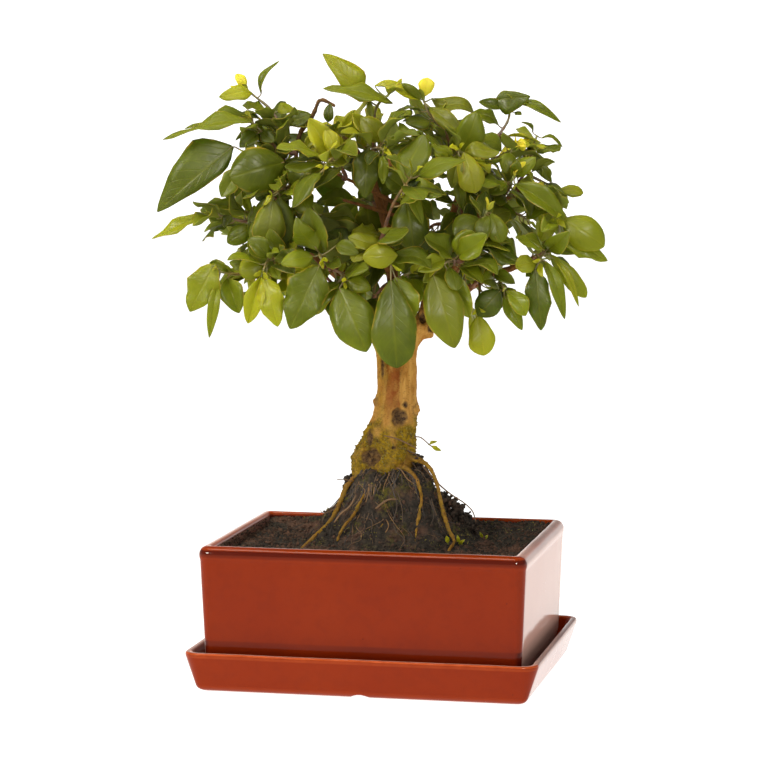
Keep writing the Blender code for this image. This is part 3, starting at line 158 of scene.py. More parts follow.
LIMBS = {
    "left_low": ((-10, -2, 171, 2.1), (-24, 8, 180, 1.9), (-40, 14, 186, 1.6), (-56, 17, 190, 1.2)),
    "left": ((-10, -2, 171, 2.2), (-22, -5, 190, 2.0), (-36, -5, 206, 1.7), (-38, -4, 226, 1.4),
             (-44, -2, 241, 1.1)),
    "left_back": ((-10, -2, 171, 2.1), (-20, -20, 184, 1.8), (-34, -36, 197, 1.5), (-48, -45, 207, 1.1)),
    "left_far": ((-35, -5, 205, 1.5), (-50, -4, 212, 1.3), (-65, -1, 217, 1.0)),
    "front_left": ((-10, -2, 171, 2.0), (-16, 14, 182, 1.7), (-26, 30, 192, 1.4), (-34, 44, 200, 1.0)),
    "middle": ((2.6, -1, 175, 2.4), (3, -3, 196, 2.2), (-2, -4, 217, 1.9), (-8, -4, 240, 1.5),
               (-11, -2, 255, 1.1)),
    "front": ((3, -1, 178, 1.9), (1, 14, 191, 1.7), (-4, 28, 201, 1.4), (-8, 41, 208, 1.0)),
    "knee": ((2.6, -3, 199, 1.9), (6, 2, 209, 1.8), (9, 7, 217, 1.7), (11.5, 10, 226, 1.5),
             (16, 10, 241, 1.2)),
    "back": ((2.8, -2, 178, 2.0), (4, -19, 191, 1.8), (6, -35, 206, 1.5), (6, -48, 221, 1.1)),
    "right": ((17, -1, 167, 2.9), (22, -3, 186, 2.3), (28, -4, 206, 1.9), (34, -3, 226, 1.5),
              (38, -2, 245, 1.1)),
    "right_low": ((17, -1, 167, 2.4), (31, 4, 177, 1.9), (47, 8, 187, 1.6), (62, 10, 193, 1.4),
                  (77, 10, 200, 1.0)),
    "right_back": ((17, -1, 167, 2.4), (27, -18, 180, 1.9), (39, -34, 195, 1.5), (51, -44, 207, 1.1)),
    "front_right": ((16, 0, 166, 2.3), (24, 17, 181, 1.8), (32, 31, 194, 1.4), (38, 44, 203, 1.0)),
    "right_far": ((27.5, -4, 205, 1.6), (44, -2, 216, 1.4), (58, 0, 224, 1.2), (70, 1, 229, 1.0)),
    "back_top": ((-1.5, -4, 215, 1.6), (1, -18, 229, 1.4), (2, -31, 241, 1.0)),
    "left_back_top": ((-37.5, -4, 224, 1.4), (-38, -19, 233, 1.2), (-36, -32, 241, 1.0)),
    "right_back_top": ((33, -3, 223, 1.4), (36, -19, 233, 1.2), (37, -32, 242, 1.0)),
    "top_right": ((33.5, -3, 225, 1.4), (46, -2, 240, 1.2), (54, -2, 253, 1.0)),
    "crook": ((-41, -3, 233.5, 1.1), (-41.5, -1, 244, 1.1), (-39.6, 1, 253.2, 1.1), (-34, 2, 260.7, 1.1),
              (-30.3, 3, 268.5, 1.0), (-23.3, 3, 265.8, 0.9)),
    "cross_high": ((9.2, 6, 218, 1.2), (2, 9, 222.5, 1.1), (-11, 11, 229, 1.0), (-23, 12, 235, 0.8)),
    "cross_low": ((8, 5, 214, 1.2), (4.5, 8, 215.5, 1.1), (-8, 11, 219.5, 1.0), (-20, 12, 223, 0.8)),
}
ROOTS = (
    ((9, 4, 103, 2.2), (17, 8, 101, 1.5), (21, 10, 97, 1.3), (23.5, 12, 91, 1.2), (25.5, 17, 82, 1.2),
     (28, 22, 73, 1.2), (31, 27, 67, 1.1), (29, 30, 64, 1.0), (26, 33, 60, 0.9)),
    ((8, 8, 99, 2.0), (13, 13, 95, 1.2), (16, 18, 87, 1.1), (15, 23, 79, 1.1), (13.5, 28, 71, 1.0),
     (13, 33, 65, 1.0), (12, 37, 59, 0.9)),
    ((-10, 4, 97, 2.4), (-17.5, 6, 91, 1.6), (-21, 8, 84, 1.5), (-24, 11, 77, 1.4), (-29, 13, 71, 1.3),
     (-36, 15, 65, 1.1), (-41, 16, 60, 0.9)),
    ((-6, 9, 91, 1.6), (-11, 19, 86, 1.1), (-15, 23, 79, 1.1), (-20, 26, 73, 1.0), (-23, 28, 67, 0.9)),
    ((0, 17, 87, 1.2), (-1, 25, 77, 0.8), (-4, 30.5, 70, 0.8), (-4, 35, 62, 0.7)),
    ((6, -9, 96, 2.4), (12, -17, 88, 1.4), (18, -25, 77, 1.3), (21, -33, 67, 1.1), (22, -40, 59, 0.9)),
    ((-6, -8, 96, 2.4), (-11, -17, 88, 1.4), (-16, -24, 78, 1.3), (-22, -30, 68, 1.1),
     (-26, -36, 59, 0.9)),
)
LOOSE_FIBRES = (
    ((17, 8, 99, 0.5), (24, 8, 91, 0.4), (30, 9, 86, 0.35), (36, 9, 82, 0.3), (40, 9, 78, 0.3),
     (41.5, 9, 73, 0.25)),
    ((-16, 8, 92, 0.3), (-19.5, 8, 93, 0.25), (-23, 9, 93, 0.2)),
    ((-20, 9, 82, 0.3), (-25, 10, 79, 0.25), (-29, 11, 77.5, 0.2), (-31, 11, 79, 0.15)),
    ((-3, 27, 84, 0.4), (-5, 27.5, 82, 0.5), (0, 28, 86, 0.5), (5, 27, 86.5, 0.4)),
    ((-24, 30, 76, 0.4), (-21, 29, 80, 0.5), (-17, 27, 83, 0.5), (-14, 25, 88, 0.4)),
    ((-1, 10.8, 113.8, 0.3), (5, 11.4, 112.3, 0.35), (10, 10, 109.8, 0.35), (14, 8, 107.3, 0.3)),
    ((13, 7, 112.8, 0.3), (16, 8, 112.5, 0.3), (19, 8.5, 110, 0.28), (22, 8.5, 107.5, 0.25)),
)
# Where peat clings to loose roots: across, up, reach and how many lumps
WING_CLUMPS = (
    (14, 101, 1.6, 70), (16, 95, 1.9, 90), (17, 88, 2.2, 110), (20, 83, 2.4, 110),
    (25, 82, 2.2, 100), (29, 80.5, 2, 110), (32.5, 77, 2, 120), (36, 73, 2, 120),
    (39.5, 69.5, 1.8, 110), (29, 73, 2.8, 130), (34, 69, 2.6, 120), (-17, 90.5, 1.6, 60),
)


@dataclass(frozen=True)
class Bend:
    """How one leaf is shaped and bent, in shares of its length or half width, and in radians."""

    belly: float = 0.45
    taper: float = 1.4
    fold: float = 0.15
    cup: float = 0.05
    wave: float = 0.1
    waves: float = 1.4
    phase: float = 0.0
    twist: float = 0.0
    recurve: float = 0.0
    sickle: float = 0.0
    arch: float = BLADE_ARCH
    ruffle: float = 0.04
    skew: float = 0.0

    @classmethod
    def drawn(cls, draw: random.Random, slim: float) -> Bend:
        """A bend by chance.

        Args:
            draw: The source of chance.
            slim: The leaf's width as a share of its length.

        Returns:
            The bend.
        """
        wavy = draw.random()
        return cls(draw.uniform(0.34, 0.58), draw.uniform(1.1, 2.0), 0.05 + 0.7 * draw.random() ** 2,
                   draw.uniform(-0.2, 0.34), 0.06 + 0.4 * wavy ** 2 + 0.14 * (slim < 0.4),
                   draw.uniform(0.8, 2.4), draw.uniform(0, 6.28), draw.gauss(0.0, 0.4),
                   draw.gauss(0.0, 0.045), draw.gauss(0.0, 0.045), draw.uniform(0.04, 0.15),
                   draw.uniform(0.01, 0.09))


class Habit(Enum):
    """The bends of leaves whose shape the front shows plainly."""

    CORNERED = Bend(belly=0.3, taper=0.8, fold=0.1, cup=0.12, wave=0.14, waves=1.8, ruffle=0.03, skew=-0.34)
    BLUNT = Bend(belly=0.62, taper=2.3, fold=0.1, cup=0.12, wave=0.12, ruffle=0.06)
    BROAD = Bend(belly=0.46, taper=1.5, fold=0.12, cup=0.16, wave=0.12, ruffle=0.05)
    ROUND = Bend(belly=0.5, taper=1.9, fold=0.06, cup=0.3, wave=0.08, arch=0.14, ruffle=0.02)
    WAVY = Bend(belly=0.42, taper=1.3, fold=0.15, cup=0.1, wave=0.42, waves=1.9, ruffle=0.09)
    RIBBON = Bend(belly=0.3, taper=1.5, fold=0.3, wave=0.45, waves=1.6, twist=0.3, recurve=0.02, arch=0.07)
    HOOKED = Bend(belly=0.4, taper=1.2, fold=0.45, cup=0.1, wave=0.12, recurve=0.03, arch=0.2)
    FOLDED = Bend(belly=0.44, taper=1.25, fold=0.8, wave=0.14, arch=0.11)


@dataclass(frozen=True)
class Leaf:
    """A leaf that the front shows, in the tree frame. Tilt is 0 facing the front and 90 facing up."""

    base: Point
    tip: Point
    width: float
    tilt: float
    habit: Habit | None = None


@dataclass(frozen=True)
class Spray:
    """A twig that the front shows, with its leaves."""

    twig: tuple[Point, ...]
    leaves: tuple[Leaf, ...]


@dataclass(frozen=True)
class Blade:
    """A leaf's blade in the world: where its stalk is rooted, its base and tip, width and facing."""

    root: Vector
    base: Vector
    tip: Vector
    width: float
    facing: Vector
    habit: Habit | None = None


@dataclass(frozen=True)
class Obstacle:
    """A solid that new twigs and leaves have to miss."""

    low: Vector
    high: Vector
    tree: BVHTree
    spray: int | None
    is_blade: bool


@dataclass(frozen=True)
class Flush:
    """A spot of young growth, seen from the front: its middle, reach and how young the leaves are."""

    across: float
    up: float
    reach: float
    youth: float


@dataclass(frozen=True)
class Scar:
    """A dark dent in the bark, in the tree frame: its middle, half sizes and depth."""

    middle: Point
    half_width: float
    half_height: float
    depth: float


class Slot(Enum):
    """The record's material slots, each named for some of the new pieces."""

    GLAZE = "glaze"
    PEAT = "peat"
    BARK = "bark"
    LEAF = "leaf"


FLUSHES = (
    Flush(-67, 277, 6, 1), Flush(-70, 271, 7, 0.4), Flush(-26, 247, 9, 0.6),
    Flush(-14, 258, 10, 0.45), Flush(18.5, 275, 6, 1), Flush(4, 271, 6, 0.5),
    Flush(-20, 281, 14, 0.36), Flush(5, 271, 3, 0.5), Flush(-5, 204, 9, 0.35),
    Flush(25, 262, 8, 0.4), Flush(61, 247, 6, 0.9), Flush(59, 231, 6, 0.85),
    Flush(38, 240, 9, 0.4), Flush(87, 226, 9, 0.3), Flush(92, 205, 14, 0.2),
    Flush(88, 180, 12, 0.5), Flush(44, 160, 12, 0.45), Flush(30, 172, 12, 0.22),
    Flush(-57, 178, 11, 0.45), Flush(-86, 180, 12, 0.26), Flush(-40, 188, 7, 0.6),
    Flush(4, 158, 14, 0.12), Flush(-95, 209, 12, 0.3), Flush(-93, 254, 12, 0.2),
)
SCARS = (
    Scar((5.9, 8.6, 121.8), 4, 4.6, 1.3), Scar((8.9, 6.5, 127.8), 1.4, 1.8, 0.9),
    Scar((14.2, 4, 125), 1.9, 2.2, -1.2), Scar((-7.5, 12, 103.5), 4.9, 4.6, 1.8),
    Scar((-7.6, 10, 112), 1.5, 3.6, 0.8), Scar((3.4, 12, 108), 1.2, 0.9, 0.5),
    Scar((-1.6, 3.8, 147), 0.8, 7.5, 0.9), Scar((-6.6, 2, 129.5), 2, 2.4, -2.6),
    Scar((17, 4, 168), 2.2, 3, 0.8), Scar((20.5, 4, 163), 1.4, 2, 0.6),
)
STRAY_LEAVES = (
    Leaf((21, 8.5, 108.6), (25.4, 8.5, 106.4), 2.4, 20),
    Leaf((20, 8.5, 109.4), (23.5, 8, 110.8), 1.8, 40),
    Leaf((33.6, 24, 64.6), (32.4, 25, 69.4), 1.9, 10),
    Leaf((33.8, 24, 64.6), (36, 25.5, 67.4), 1.7, 30),
    Leaf((45, 1, 63.4), (43.6, 2, 67.2), 1.8, 15),
    Leaf((45.2, 1, 63.4), (47.4, 2, 65.6), 1.6, 35),
    Leaf((28, 30, 66.5), (27.4, 31.5, 70), 2, 10),
)


def tree_point(point: Sequence[float]) -> Vector:
    """The world point, in millimetres, of (across, front, up) in the tree frame."""
    across, front, up = point
    return Vector((across * TREE_COS + front * TREE_SIN, across * TREE_SIN - front * TREE_COS, up))


def tree_place(place: Sequence[float]) -> Point:
    """The point of the tree frame, in millimetres, at a world point: tree_point() undone."""
    return (place[0] * TREE_COS + place[1] * TREE_SIN, place[0] * TREE_SIN - place[1] * TREE_COS, place[2])


def srgb(red: int, green: int, blue: int) -> tuple[float, float, float, float]:
    """The linear colour of an sRGB colour given as three numbers up to 255."""
    parts = (value / 255 for value in (red, green, blue))
    return (*(v / 12.92 if v <= 0.04045 else ((v + 0.055) / 1.055) ** 2.4 for v in parts), 1.0)


FRONT = tree_point((0.0, 1.0, 0.0))


def tilted(tilt: float) -> Vector:
    """The direction that a leaf faces by its tilt: 0 degrees is the front and 90 is up."""
    turn = math.radians(tilt)
    return FRONT * math.cos(turn) + UP * math.sin(turn)


def held(value: float) -> float:
    """The value, held between 0 and 1."""
    return min(1.0, max(0.0, value))


def course_length(points: Sequence[Vector]) -> float:
    """The length of a polyline."""
    return sum((b - a).length for a, b in zip(points, points[1:]))


# Meshes

def placed(name: str, data: bpy.types.ID) -> bpy.types.Object:
    """Put a new object into the scene.

    Args:
        name: Its name.
        data: Its mesh, lamp or camera.

    Returns:
        The object.
    """
    thing = bpy.data.objects.new(name, data)
    bpy.context.scene.collection.objects.link(thing)
    return thing


def carry(mesh: bpy.types.Mesh, name: str, values: np.ndarray) -> None:
    """Give each of a mesh's points a named number."""
    layer = mesh.attributes.new(name, "FLOAT", "POINT")
    layer.data.foreach_set("value", values.astype(np.float32))


def point_values(mesh: bpy.types.Mesh, name: str) -> np.ndarray:
    """Each point's number of a name.

    Args:
        mesh: The mesh.
        name: The name that carry() gave it.

    Returns:
        The numbers.
    """
    values = np.empty(len(mesh.vertices), np.float32)
    mesh.attributes[name].data.foreach_get("value", values)
    return values


def point_rows(mesh: bpy.types.Mesh, key: str) -> np.ndarray:
    """Each point's place or normal.

    Args:
        mesh: The mesh.
        key: The vector's name, co or normal.

    Returns:
        Its rows of three numbers.
    """
    rows = np.empty(len(mesh.vertices) * 3)
    mesh.vertices.foreach_get(key, rows)
    return rows.reshape(-1, 3)


class MeshDraft:
    """Points, faces and point values of one mesh while it is put together, in millimetres."""

    def __init__(self, *values: str) -> None:
        """Start empty.

        Args:
            values: Names of the numbers that each point carries.
        """
        self.points: list[np.ndarray] = []
        self.faces: list[list[int]] = []
        self.finish_of: list[int] = []
        self.values: dict[str, list[np.ndarray]] = {name: [] for name in values}
        self.count = 0

    def add(self, points: np.ndarray, faces: Iterable[Sequence[int]], finish: int = 0,
            **values: float | np.ndarray) -> None:
        """Add a closed form.

        Args:
            points: Rows of x, y and z.
            faces: Rows of indices into the points.
            finish: Which of the mesh's finishes the form has.
            values: The points' numbers, one for all of them or one for each.
        """
        rows = [[self.count + i for i in face] for face in faces]
        self.faces.extend(rows)
        self.finish_of.extend([finish] * len(rows))
        self.points.append(points)
        self.count += len(points)
        for name, kept in self.values.items():
            kept.append(np.broadcast_to(np.asarray(values.get(name, 0.0), float), (len(points),)))

    def thread(self, rows: np.ndarray, thick: float, tone: float) -> None:
        """Add a thin root of a radius, which narrows to half of it, and of a tone."""
        self.add(*swept(rows, np.linspace(thick, thick * 0.5, len(rows)), THREAD_SIDES), tone=tone)

    def make(self, name: str, finishes: Sequence[bpy.types.Material],
             smooth: bool = True) -> bpy.types.Object:
        """Make the object, in metres.

        Args:
            name: The object's name.
            finishes: Its materials.
            smooth: Whether its faces are shaded smooth.

        Returns:
            The object, linked to the scene.
        """
        mesh = bpy.data.meshes.new(name)
        mesh.from_pydata((np.concatenate(self.points) * MM).tolist(), [], self.faces)
        for finish in finishes:
            mesh.materials.append(finish)
        mesh.polygons.foreach_set("material_index", self.finish_of)
        mesh.polygons.foreach_set("use_smooth", [smooth] * len(self.faces))
        for key, kept in self.values.items():
            carry(mesh, key, np.concatenate(kept))
        mesh.validate()
        mesh.update()
        return placed(name, mesh)


def settle(piece: bpy.types.Object, slot: Slot, *nodes: str) -> bpy.types.Object:
    """Fix a finished piece to the frame, and report it.

    Args:
        piece: The piece.
        slot: The record's slot that its finish comes from. It is not used.
        nodes: The solids that it stands for.

    Returns:
        The piece.
    """
    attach(piece, BODY)
    if nodes:
        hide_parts(*nodes)
    LOG.info("%s: %d faces, for %s", piece.name, len(piece.data.polygons), ", ".join(nodes) or "no solid")
    return piece


def flowing(rows: np.ndarray, step: float) -> np.ndarray:
    """Points along a smooth curve through the rows.

    Args:
        rows: Points, which may carry a radius as a fourth number.
        step: The spacing along the curve, in millimetres.

    Returns:
        The denser rows, the first and last as given.
    """
    ends = np.vstack((2 * rows[0] - rows[1], rows, 2 * rows[-1] - rows[-2]))
    made = []
    for k in range(len(rows) - 1):
        before, start, end, after = ends[k:k + 4]
        count = max(2, round(float(np.linalg.norm((end - start)[:3])) / step))
        for t in np.arange(count) / count:
            made.append(0.5 * (2 * start + (end - before) * t
                               + (2 * before - 5 * start + 4 * end - after) * t ** 2
                               + (3 * start - before - 3 * end + after) * t ** 3))
    made.append(rows[-1])
    return np.array(made)


def ring_faces(rings: int, count: int) -> list[list[int]]:
    """Faces that join rings of points into a closed form.

    Args:
        rings: How many rings there are.
        count: How many points each of them has.

    Returns:
        The faces, with the caps on the first and the last ring at the end.
    """
    faces = []
    for low in range(0, count * (rings - 1), count):
        for k in range(count):
            n = (k + 1) % count
            faces.append([low + k, low + n, low + n + count, low + k + count])
    faces.append(list(range(count))[::-1])
    faces.append([count * (rings - 1) + k for k in range(count)])
    return faces


def swept(path: np.ndarray, radii: np.ndarray, sides: int) -> tuple[np.ndarray, list[list[int]]]:
    """A closed round tube along a path.

    Args:
        path: Rows of points.
        radii: The tube's radius at each point.
        sides: Sides of the tube.

    Returns:
        Its points, and its faces with the two caps last.
    """
    along = np.gradient(path, axis=0)
    along /= np.maximum(np.linalg.norm(along, axis=1), 1e-9)[:, None]
    side = np.cross(along[0], (0.31, 0.17, 0.94) if abs(along[0][2]) < 0.9 else (1.0, 0.1, 0.0))
    turns = np.arange(sides) * 2 * math.pi / sides
    points = []
    for place, direction, radius in zip(path, along, radii):
        side = side - direction * side.dot(direction)
        side /= max(np.linalg.norm(side), 1e-9)
        other = np.cross(direction, side)
        points.append(place + radius * (np.outer(np.cos(turns), side) + np.outer(np.sin(turns), other)))
    return np.concatenate(points), ring_faces(len(path), sides)


def kept_mesh(thing: bpy.types.Object) -> None:
    """Apply an object's modifiers.

    Args:
        thing: The object.
    """
    graph = bpy.context.evaluated_depsgraph_get()
    mesh = bpy.data.meshes.new_from_object(thing.evaluated_get(graph))
    thing.modifiers.clear()
    thing.data = mesh


# Finishes

class Sketch:
    """A material's nodes, with a short call for each kind that the finishes use."""

    def __init__(self, name: str) -> None:
        """Start a Principled material, placed by the object's own coordinates.

        Args:
            name: The material's name.
        """
        self.material = bpy.data.materials.new(name)
        self.material.use_nodes = True
        self.tree = self.material.node_tree
        self.shader = self.tree.nodes["Principled BSDF"]
        self.place = self.node("TexCoord", "Object", {})

    def put(self, socket: bpy.types.NodeSocket, value: object) -> None:
        """Set a socket to a value, or link another socket to it.

        Args:
            socket: The socket.
            value: The value, or the other socket.
        """
        if isinstance(value, bpy.types.NodeSocket):
            self.tree.links.new(value, socket)
        else:
            socket.default_value = value

    def node(self, kind: str, output: int | str, inputs: dict[int | str, object],
             **settings: object) -> bpy.types.NodeSocket:
        """Add a node.

        Args:
            kind: Its type, without the part that all types start with.
            output: The output that is wanted.
            inputs: Values or sockets for its inputs.
            settings: Its settings by name.

        Returns:
            The output.
        """
        node = self.tree.nodes.new("ShaderNode" + kind)
        for name, value in settings.items():
            setattr(node, name, value)
        for key, value in inputs.items():
            self.put(node.inputs[key], value)
        return node.outputs[output]

    def value(self, name: str) -> bpy.types.NodeSocket:
        """A number that the mesh's points carry."""
        return self.node("Attribute", "Fac", {}, attribute_name=name)

    def axis(self, name: str) -> bpy.types.NodeSocket:
        """One of the object's coordinates, X, Y or Z, in metres."""
        return self.node("SeparateXYZ", name, {0: self.place})

    def maths(self, operation: str, *terms: object) -> bpy.types.NodeSocket:
        """The result of a Math node."""
        return self.node("Math", 0, dict(enumerate(terms)), operation=operation)

    def times(self, first: object, second: object) -> bpy.types.NodeSocket:
        """The product of two numbers."""
        return self.maths("MULTIPLY", first, second)

    def rest(self, value: object) -> bpy.types.NodeSocket:
        """What a number leaves of 1."""
        return self.maths("SUBTRACT", 1.0, value)

    def stretched(self, stretch: Point) -> bpy.types.NodeSocket:
        """The object's coordinates, stretched along its axes."""
        return self.node("VectorMath", 0, {0: self.place, 1: stretch}, operation="MULTIPLY")

    def grain(self, size: float, detail: float = 3.0, rough: float = 0.55,
              stretch: Point = (1.0, 1.0, 1.0)) -> bpy.types.NodeSocket:
        """Noise from 0 to 1, in grains of a size in millimetres, with finer layers."""
        return self.node("TexNoise", 0, {"Vector": self.stretched(stretch), "Scale": 1.0 / (size * MM),
                                         "Detail": detail, "Roughness": rough})

    def cells(self, size: float, stretch: Point = (1.0, 1.0, 1.0)) -> bpy.types.NodeSocket:
        """The distance to the nearest of scattered points, in cells of a size in millimetres."""
        return self.node("TexVoronoi", "Distance",
                         {"Vector": self.stretched(stretch), "Scale": 1.0 / (size * MM)})

    def span(self, value: object, low: float, high: float, first: float = 0.0,
             last: float = 1.0) -> bpy.types.NodeSocket:
        """A value's range from low to high, mapped to first to last and held there."""
        return self.node("MapRange", 0, dict(enumerate((value, low, high, first, last))))

    def mix(self, factor: object, first: object, second: object) -> bpy.types.NodeSocket:
        """Two colours mixed, with the factor as the second one's share."""
        return self.node("Mix", 2, {0: factor, 6: first, 7: second}, data_type="RGBA")

    def bump(self, height: object, depth: float, under: object = None) -> bpy.types.NodeSocket:
        """A normal from a height.

        Args:
            height: The height, from 0 to 1.
            depth: What a height of 1 stands for, in millimetres.
            under: A normal that this one goes on top of.

        Returns:
            The normal.
        """
        inputs = {"Height": height, "Distance": depth * MM}
        if under is not None:
            inputs["Normal"] = under
        return self.node("Bump", 0, inputs)

    def dress(self, **sockets: object) -> bpy.types.Material:
        """Set the shader's sockets by name, with _ for a space.

        Args:
            sockets: Values or other sockets.

        Returns:
            The material.
        """
        for name, value in sockets.items():
            self.put(self.shader.inputs[name.replace("_", " ")], value)
        return self.material


@dataclass(frozen=True)
class ShadeBand:
    """A band of painted shade on the glaze: from low to high, and not further from the middle line than far.
    """

    low: float
    high: float
    far: float


@dataclass(frozen=True)
class Glaze:
    """A glossy red-brown glaze that thins to orange on crests, over bare clay on the foot, with painted shade
    bands and a painted reflection at a glance.
    """

    body: tuple = srgb(142, 44, 2)
    deep: tuple = srgb(135, 39, 2)
    # real pooled glaze in the fine mottle, and the colour of the painted shade bands
    pooled_and_shaded: tuple = srgb(84, 22, 10)
    pit: tuple = srgb(70, 26, 14)
    # painted reflection: the pale studio white that the glaze would mirror where it is seen at a glance
    painted_reflection: tuple = srgb(234, 190, 172)
    thin: tuple = srgb(206, 92, 40)
    clay: tuple = srgb(186, 120, 84)
    dark_clay: tuple = srgb(150, 92, 62)
    clay_rough: tuple = (0.85, 0.85, 0.85, 1.0)
    ior: float = 1.22
    # Painted shade: a dark band under the rim, and one low on the pot where it meets the saucer
    shade_bands: tuple[ShadeBand, ...] = (ShadeBand(POT_RIM_Z - 5.4, POT_RIM_Z - 1.2, 80.0),
                               ShadeBand(SAUCER_HEIGHT - 6.0, SAUCER_HEIGHT + 5.0, 56.2))

    def build(self, name: str) -> bpy.types.Material:
        """Make the material.

        Args:
            name: Its name.

        Returns:
            The material. Its mesh carries crest and bare values.
        """
        s = Sketch(name)
        colour = s.mix(s.span(s.grain(60.0, 2.0), 0.3, 0.7), self.body, self.deep)
        colour = s.mix(s.span(s.grain(5.0, 4.0, 0.6), 0.45, 0.8, 0.0, 0.15), colour, self.pooled_and_shaded)
        crest = s.times(s.value("crest"), s.span(s.grain(9.0, 3.0), 0.25, 0.7, 0.3, 0.85))
        colour = s.mix(crest, colour, self.thin)
        pits = s.span(s.cells(5.0), 0.03, 0.055, 1.0, 0.0)
        pit = s.times(pits, s.maths("GREATER_THAN", s.grain(23.0, 0.0), 0.58))
        colour = s.mix(pit, colour, self.pit)
        up, aside = s.axis("Z"), s.maths("ABSOLUTE", s.axis("Y"))
        # Painted shade: each band darkens the glaze towards the pooled and shaded colour.
        for shade_band in self.shade_bands:
            shade_mask = s.times(s.span(up, shade_band.low * MM, (shade_band.low + 2.2) * MM),
                           s.span(up, (shade_band.high - 0.7) * MM, shade_band.high * MM, 1.0, 0.0))
            shade_mask = s.times(shade_mask, s.span(aside, shade_band.far * MM, (shade_band.far + 1.0) * MM, 0.95, 0.0))
            colour = s.mix(shade_mask, colour, self.pooled_and_shaded)
        # Painted reflection: the colour turns pale where the surface is seen at a glance, standing in for the
        # studio's white mirrored in the glaze.
        painted_reflection_mask = s.node("LayerWeight", "Facing", {"Blend": 0.5})
        colour = s.mix(s.span(painted_reflection_mask, 0.66, 0.86, 0.0, 0.75), colour, self.painted_reflection)
        bare = s.value("bare")
        colour = s.mix(bare, colour, s.mix(s.grain(1.5, 4.0), self.clay, self.dark_clay))
        sway = s.bump(s.grain(26.0, 1.0), 0.16)
        peel = s.bump(s.grain(2.2, 2.0), 0.006, sway)
        dent = s.bump(s.rest(pit), 0.12, peel)
        rough = s.mix(bare, s.span(s.grain(14.0, 3.0), 0.3, 0.75, 0.05, 0.1), self.clay_rough)
        return s.dress(Base_Color=colour, Roughness=rough, Normal=dent, IOR=self.ior)


@dataclass(frozen=True)
class Peat:
    """Dark crumbly peat, reddish where it is drier."""

    dark: tuple = srgb(40, 37, 33)
    middle: tuple = srgb(78, 68, 58)
    dry: tuple = srgb(124, 90, 72)
    moss: tuple = srgb(112, 104, 32)
    rough: float = 0.93
    ior: float = 1.2

    def build(self, name: str) -> bpy.types.Material:
        """Make the material.

        Args:
            name: Its name.

        Returns:
            The material. Its mesh carries moss and tone values.
        """
        s = Sketch(name)
        lumps = s.grain(2.4, 5.0, 0.7)
        colour = s.mix(s.span(lumps, 0.36, 0.62), self.dark, self.middle)
        colour = s.mix(s.span(s.grain(11.0, 4.0), 0.52, 0.72), colour, self.dry)
        colour = s.mix(s.value("tone"), colour, self.dry)
        colour = s.mix(s.times(s.value("moss"), s.span(lumps, 0.4, 0.6)), colour, self.moss)
        relief = s.bump(s.grain(0.7, 4.0, 0.7), 0.4, s.bump(lumps, 0.8))
        return s.dress(Base_Color=colour, Roughness=self.rough, Normal=relief, IOR=self.ior)


@dataclass(frozen=True)
class Bark:
    """Tan privet bark with reddish stretches, dark scars and moss, with painted shade in its creases and on
    the limbs high in the crown.
    """

    tan: tuple = srgb(212, 162, 80)
    brown: tuple = srgb(170, 110, 40)
    rust: tuple = srgb(150, 82, 32)
    limb: tuple = srgb(140, 92, 48)
    dark_limb: tuple = srgb(106, 70, 36)
    root: tuple = srgb(186, 134, 66)
    fleck: tuple = srgb(118, 74, 34)
    scar: tuple = srgb(60, 42, 28)
    old_scar: tuple = srgb(132, 98, 54)
    moss: tuple = srgb(178, 142, 8)
    damp_moss: tuple = srgb(98, 78, 10)
    worn_moss: tuple = srgb(84, 58, 26)
    rough: float = 0.78
    ior: float = 1.2

    def build(self, name: str) -> bpy.types.Material:
        """Make the material.

        Args:
            name: Its name.

        Returns:
            The material. Its mesh carries moss, scar, crease, limb, rust and root values; scar also holds
            painted shade on the high limbs.
        """
        s = Sketch(name)
        moss = s.value("moss")
        streaks = s.grain(3.2, 4.0, 0.6, (1.0, 1.0, 0.22))
        shade = s.span(streaks, 0.4, 0.65)
        blotch = s.grain(9.0, 3.0, 0.6, (1.0, 1.0, 0.5))
        colour = s.mix(s.span(streaks, 0.42, 0.68), self.tan, self.brown)
        colour = s.mix(s.span(blotch, 0.5, 0.75, 0.0, 0.55), colour, self.brown)
        ruddy = s.times(s.value("rust"), s.span(s.grain(5.0, 5.0, 0.7), 0.2, 0.55))
        colour = s.mix(ruddy, colour, self.rust)
        colour = s.mix(s.value("limb"), colour, s.mix(shade, self.limb, self.dark_limb))
        colour = s.mix(s.value("root"), colour, s.mix(shade, self.root, self.brown))
        fleck = s.span(s.cells(1.3, (0.7, 0.7, 1.9)), 0.14, 0.3, 1.0, 0.0)
        colour = s.mix(s.times(fleck, 0.5), colour, self.fleck)
        # Painted shade: darker in the hollows where the wood's tubes meet.
        colour = s.mix(s.value("crease"), colour, self.scar)
        green = s.mix(s.span(s.grain(2.0, 4.0, 0.7), 0.35, 0.65), self.damp_moss, self.moss)
        colour = s.mix(s.times(moss, s.span(s.grain(3.6, 5.0, 0.65), 0.3, 0.44, 0.5, 1.0)), colour, green)
        mottle = s.times(moss, s.span(s.grain(2.6, 5.0, 0.75), 0.52, 0.64, 0.0, 0.75))
        colour = s.mix(mottle, colour, self.worn_moss)
        rings = s.span(s.grain(1.7, 4.0, 0.7), 0.38, 0.62)
        colour = s.mix(s.value("scar"), colour, s.mix(rings, self.scar, self.old_scar))
        relief = s.bump(streaks, 0.5)
        relief = s.bump(s.grain(0.8, 4.0, 0.65, (1.0, 1.0, 0.6)), 0.22, relief)
        relief = s.bump(s.rest(fleck), 0.12, relief)
        return s.dress(Base_Color=colour, Roughness=self.rough, Normal=relief, IOR=self.ior)


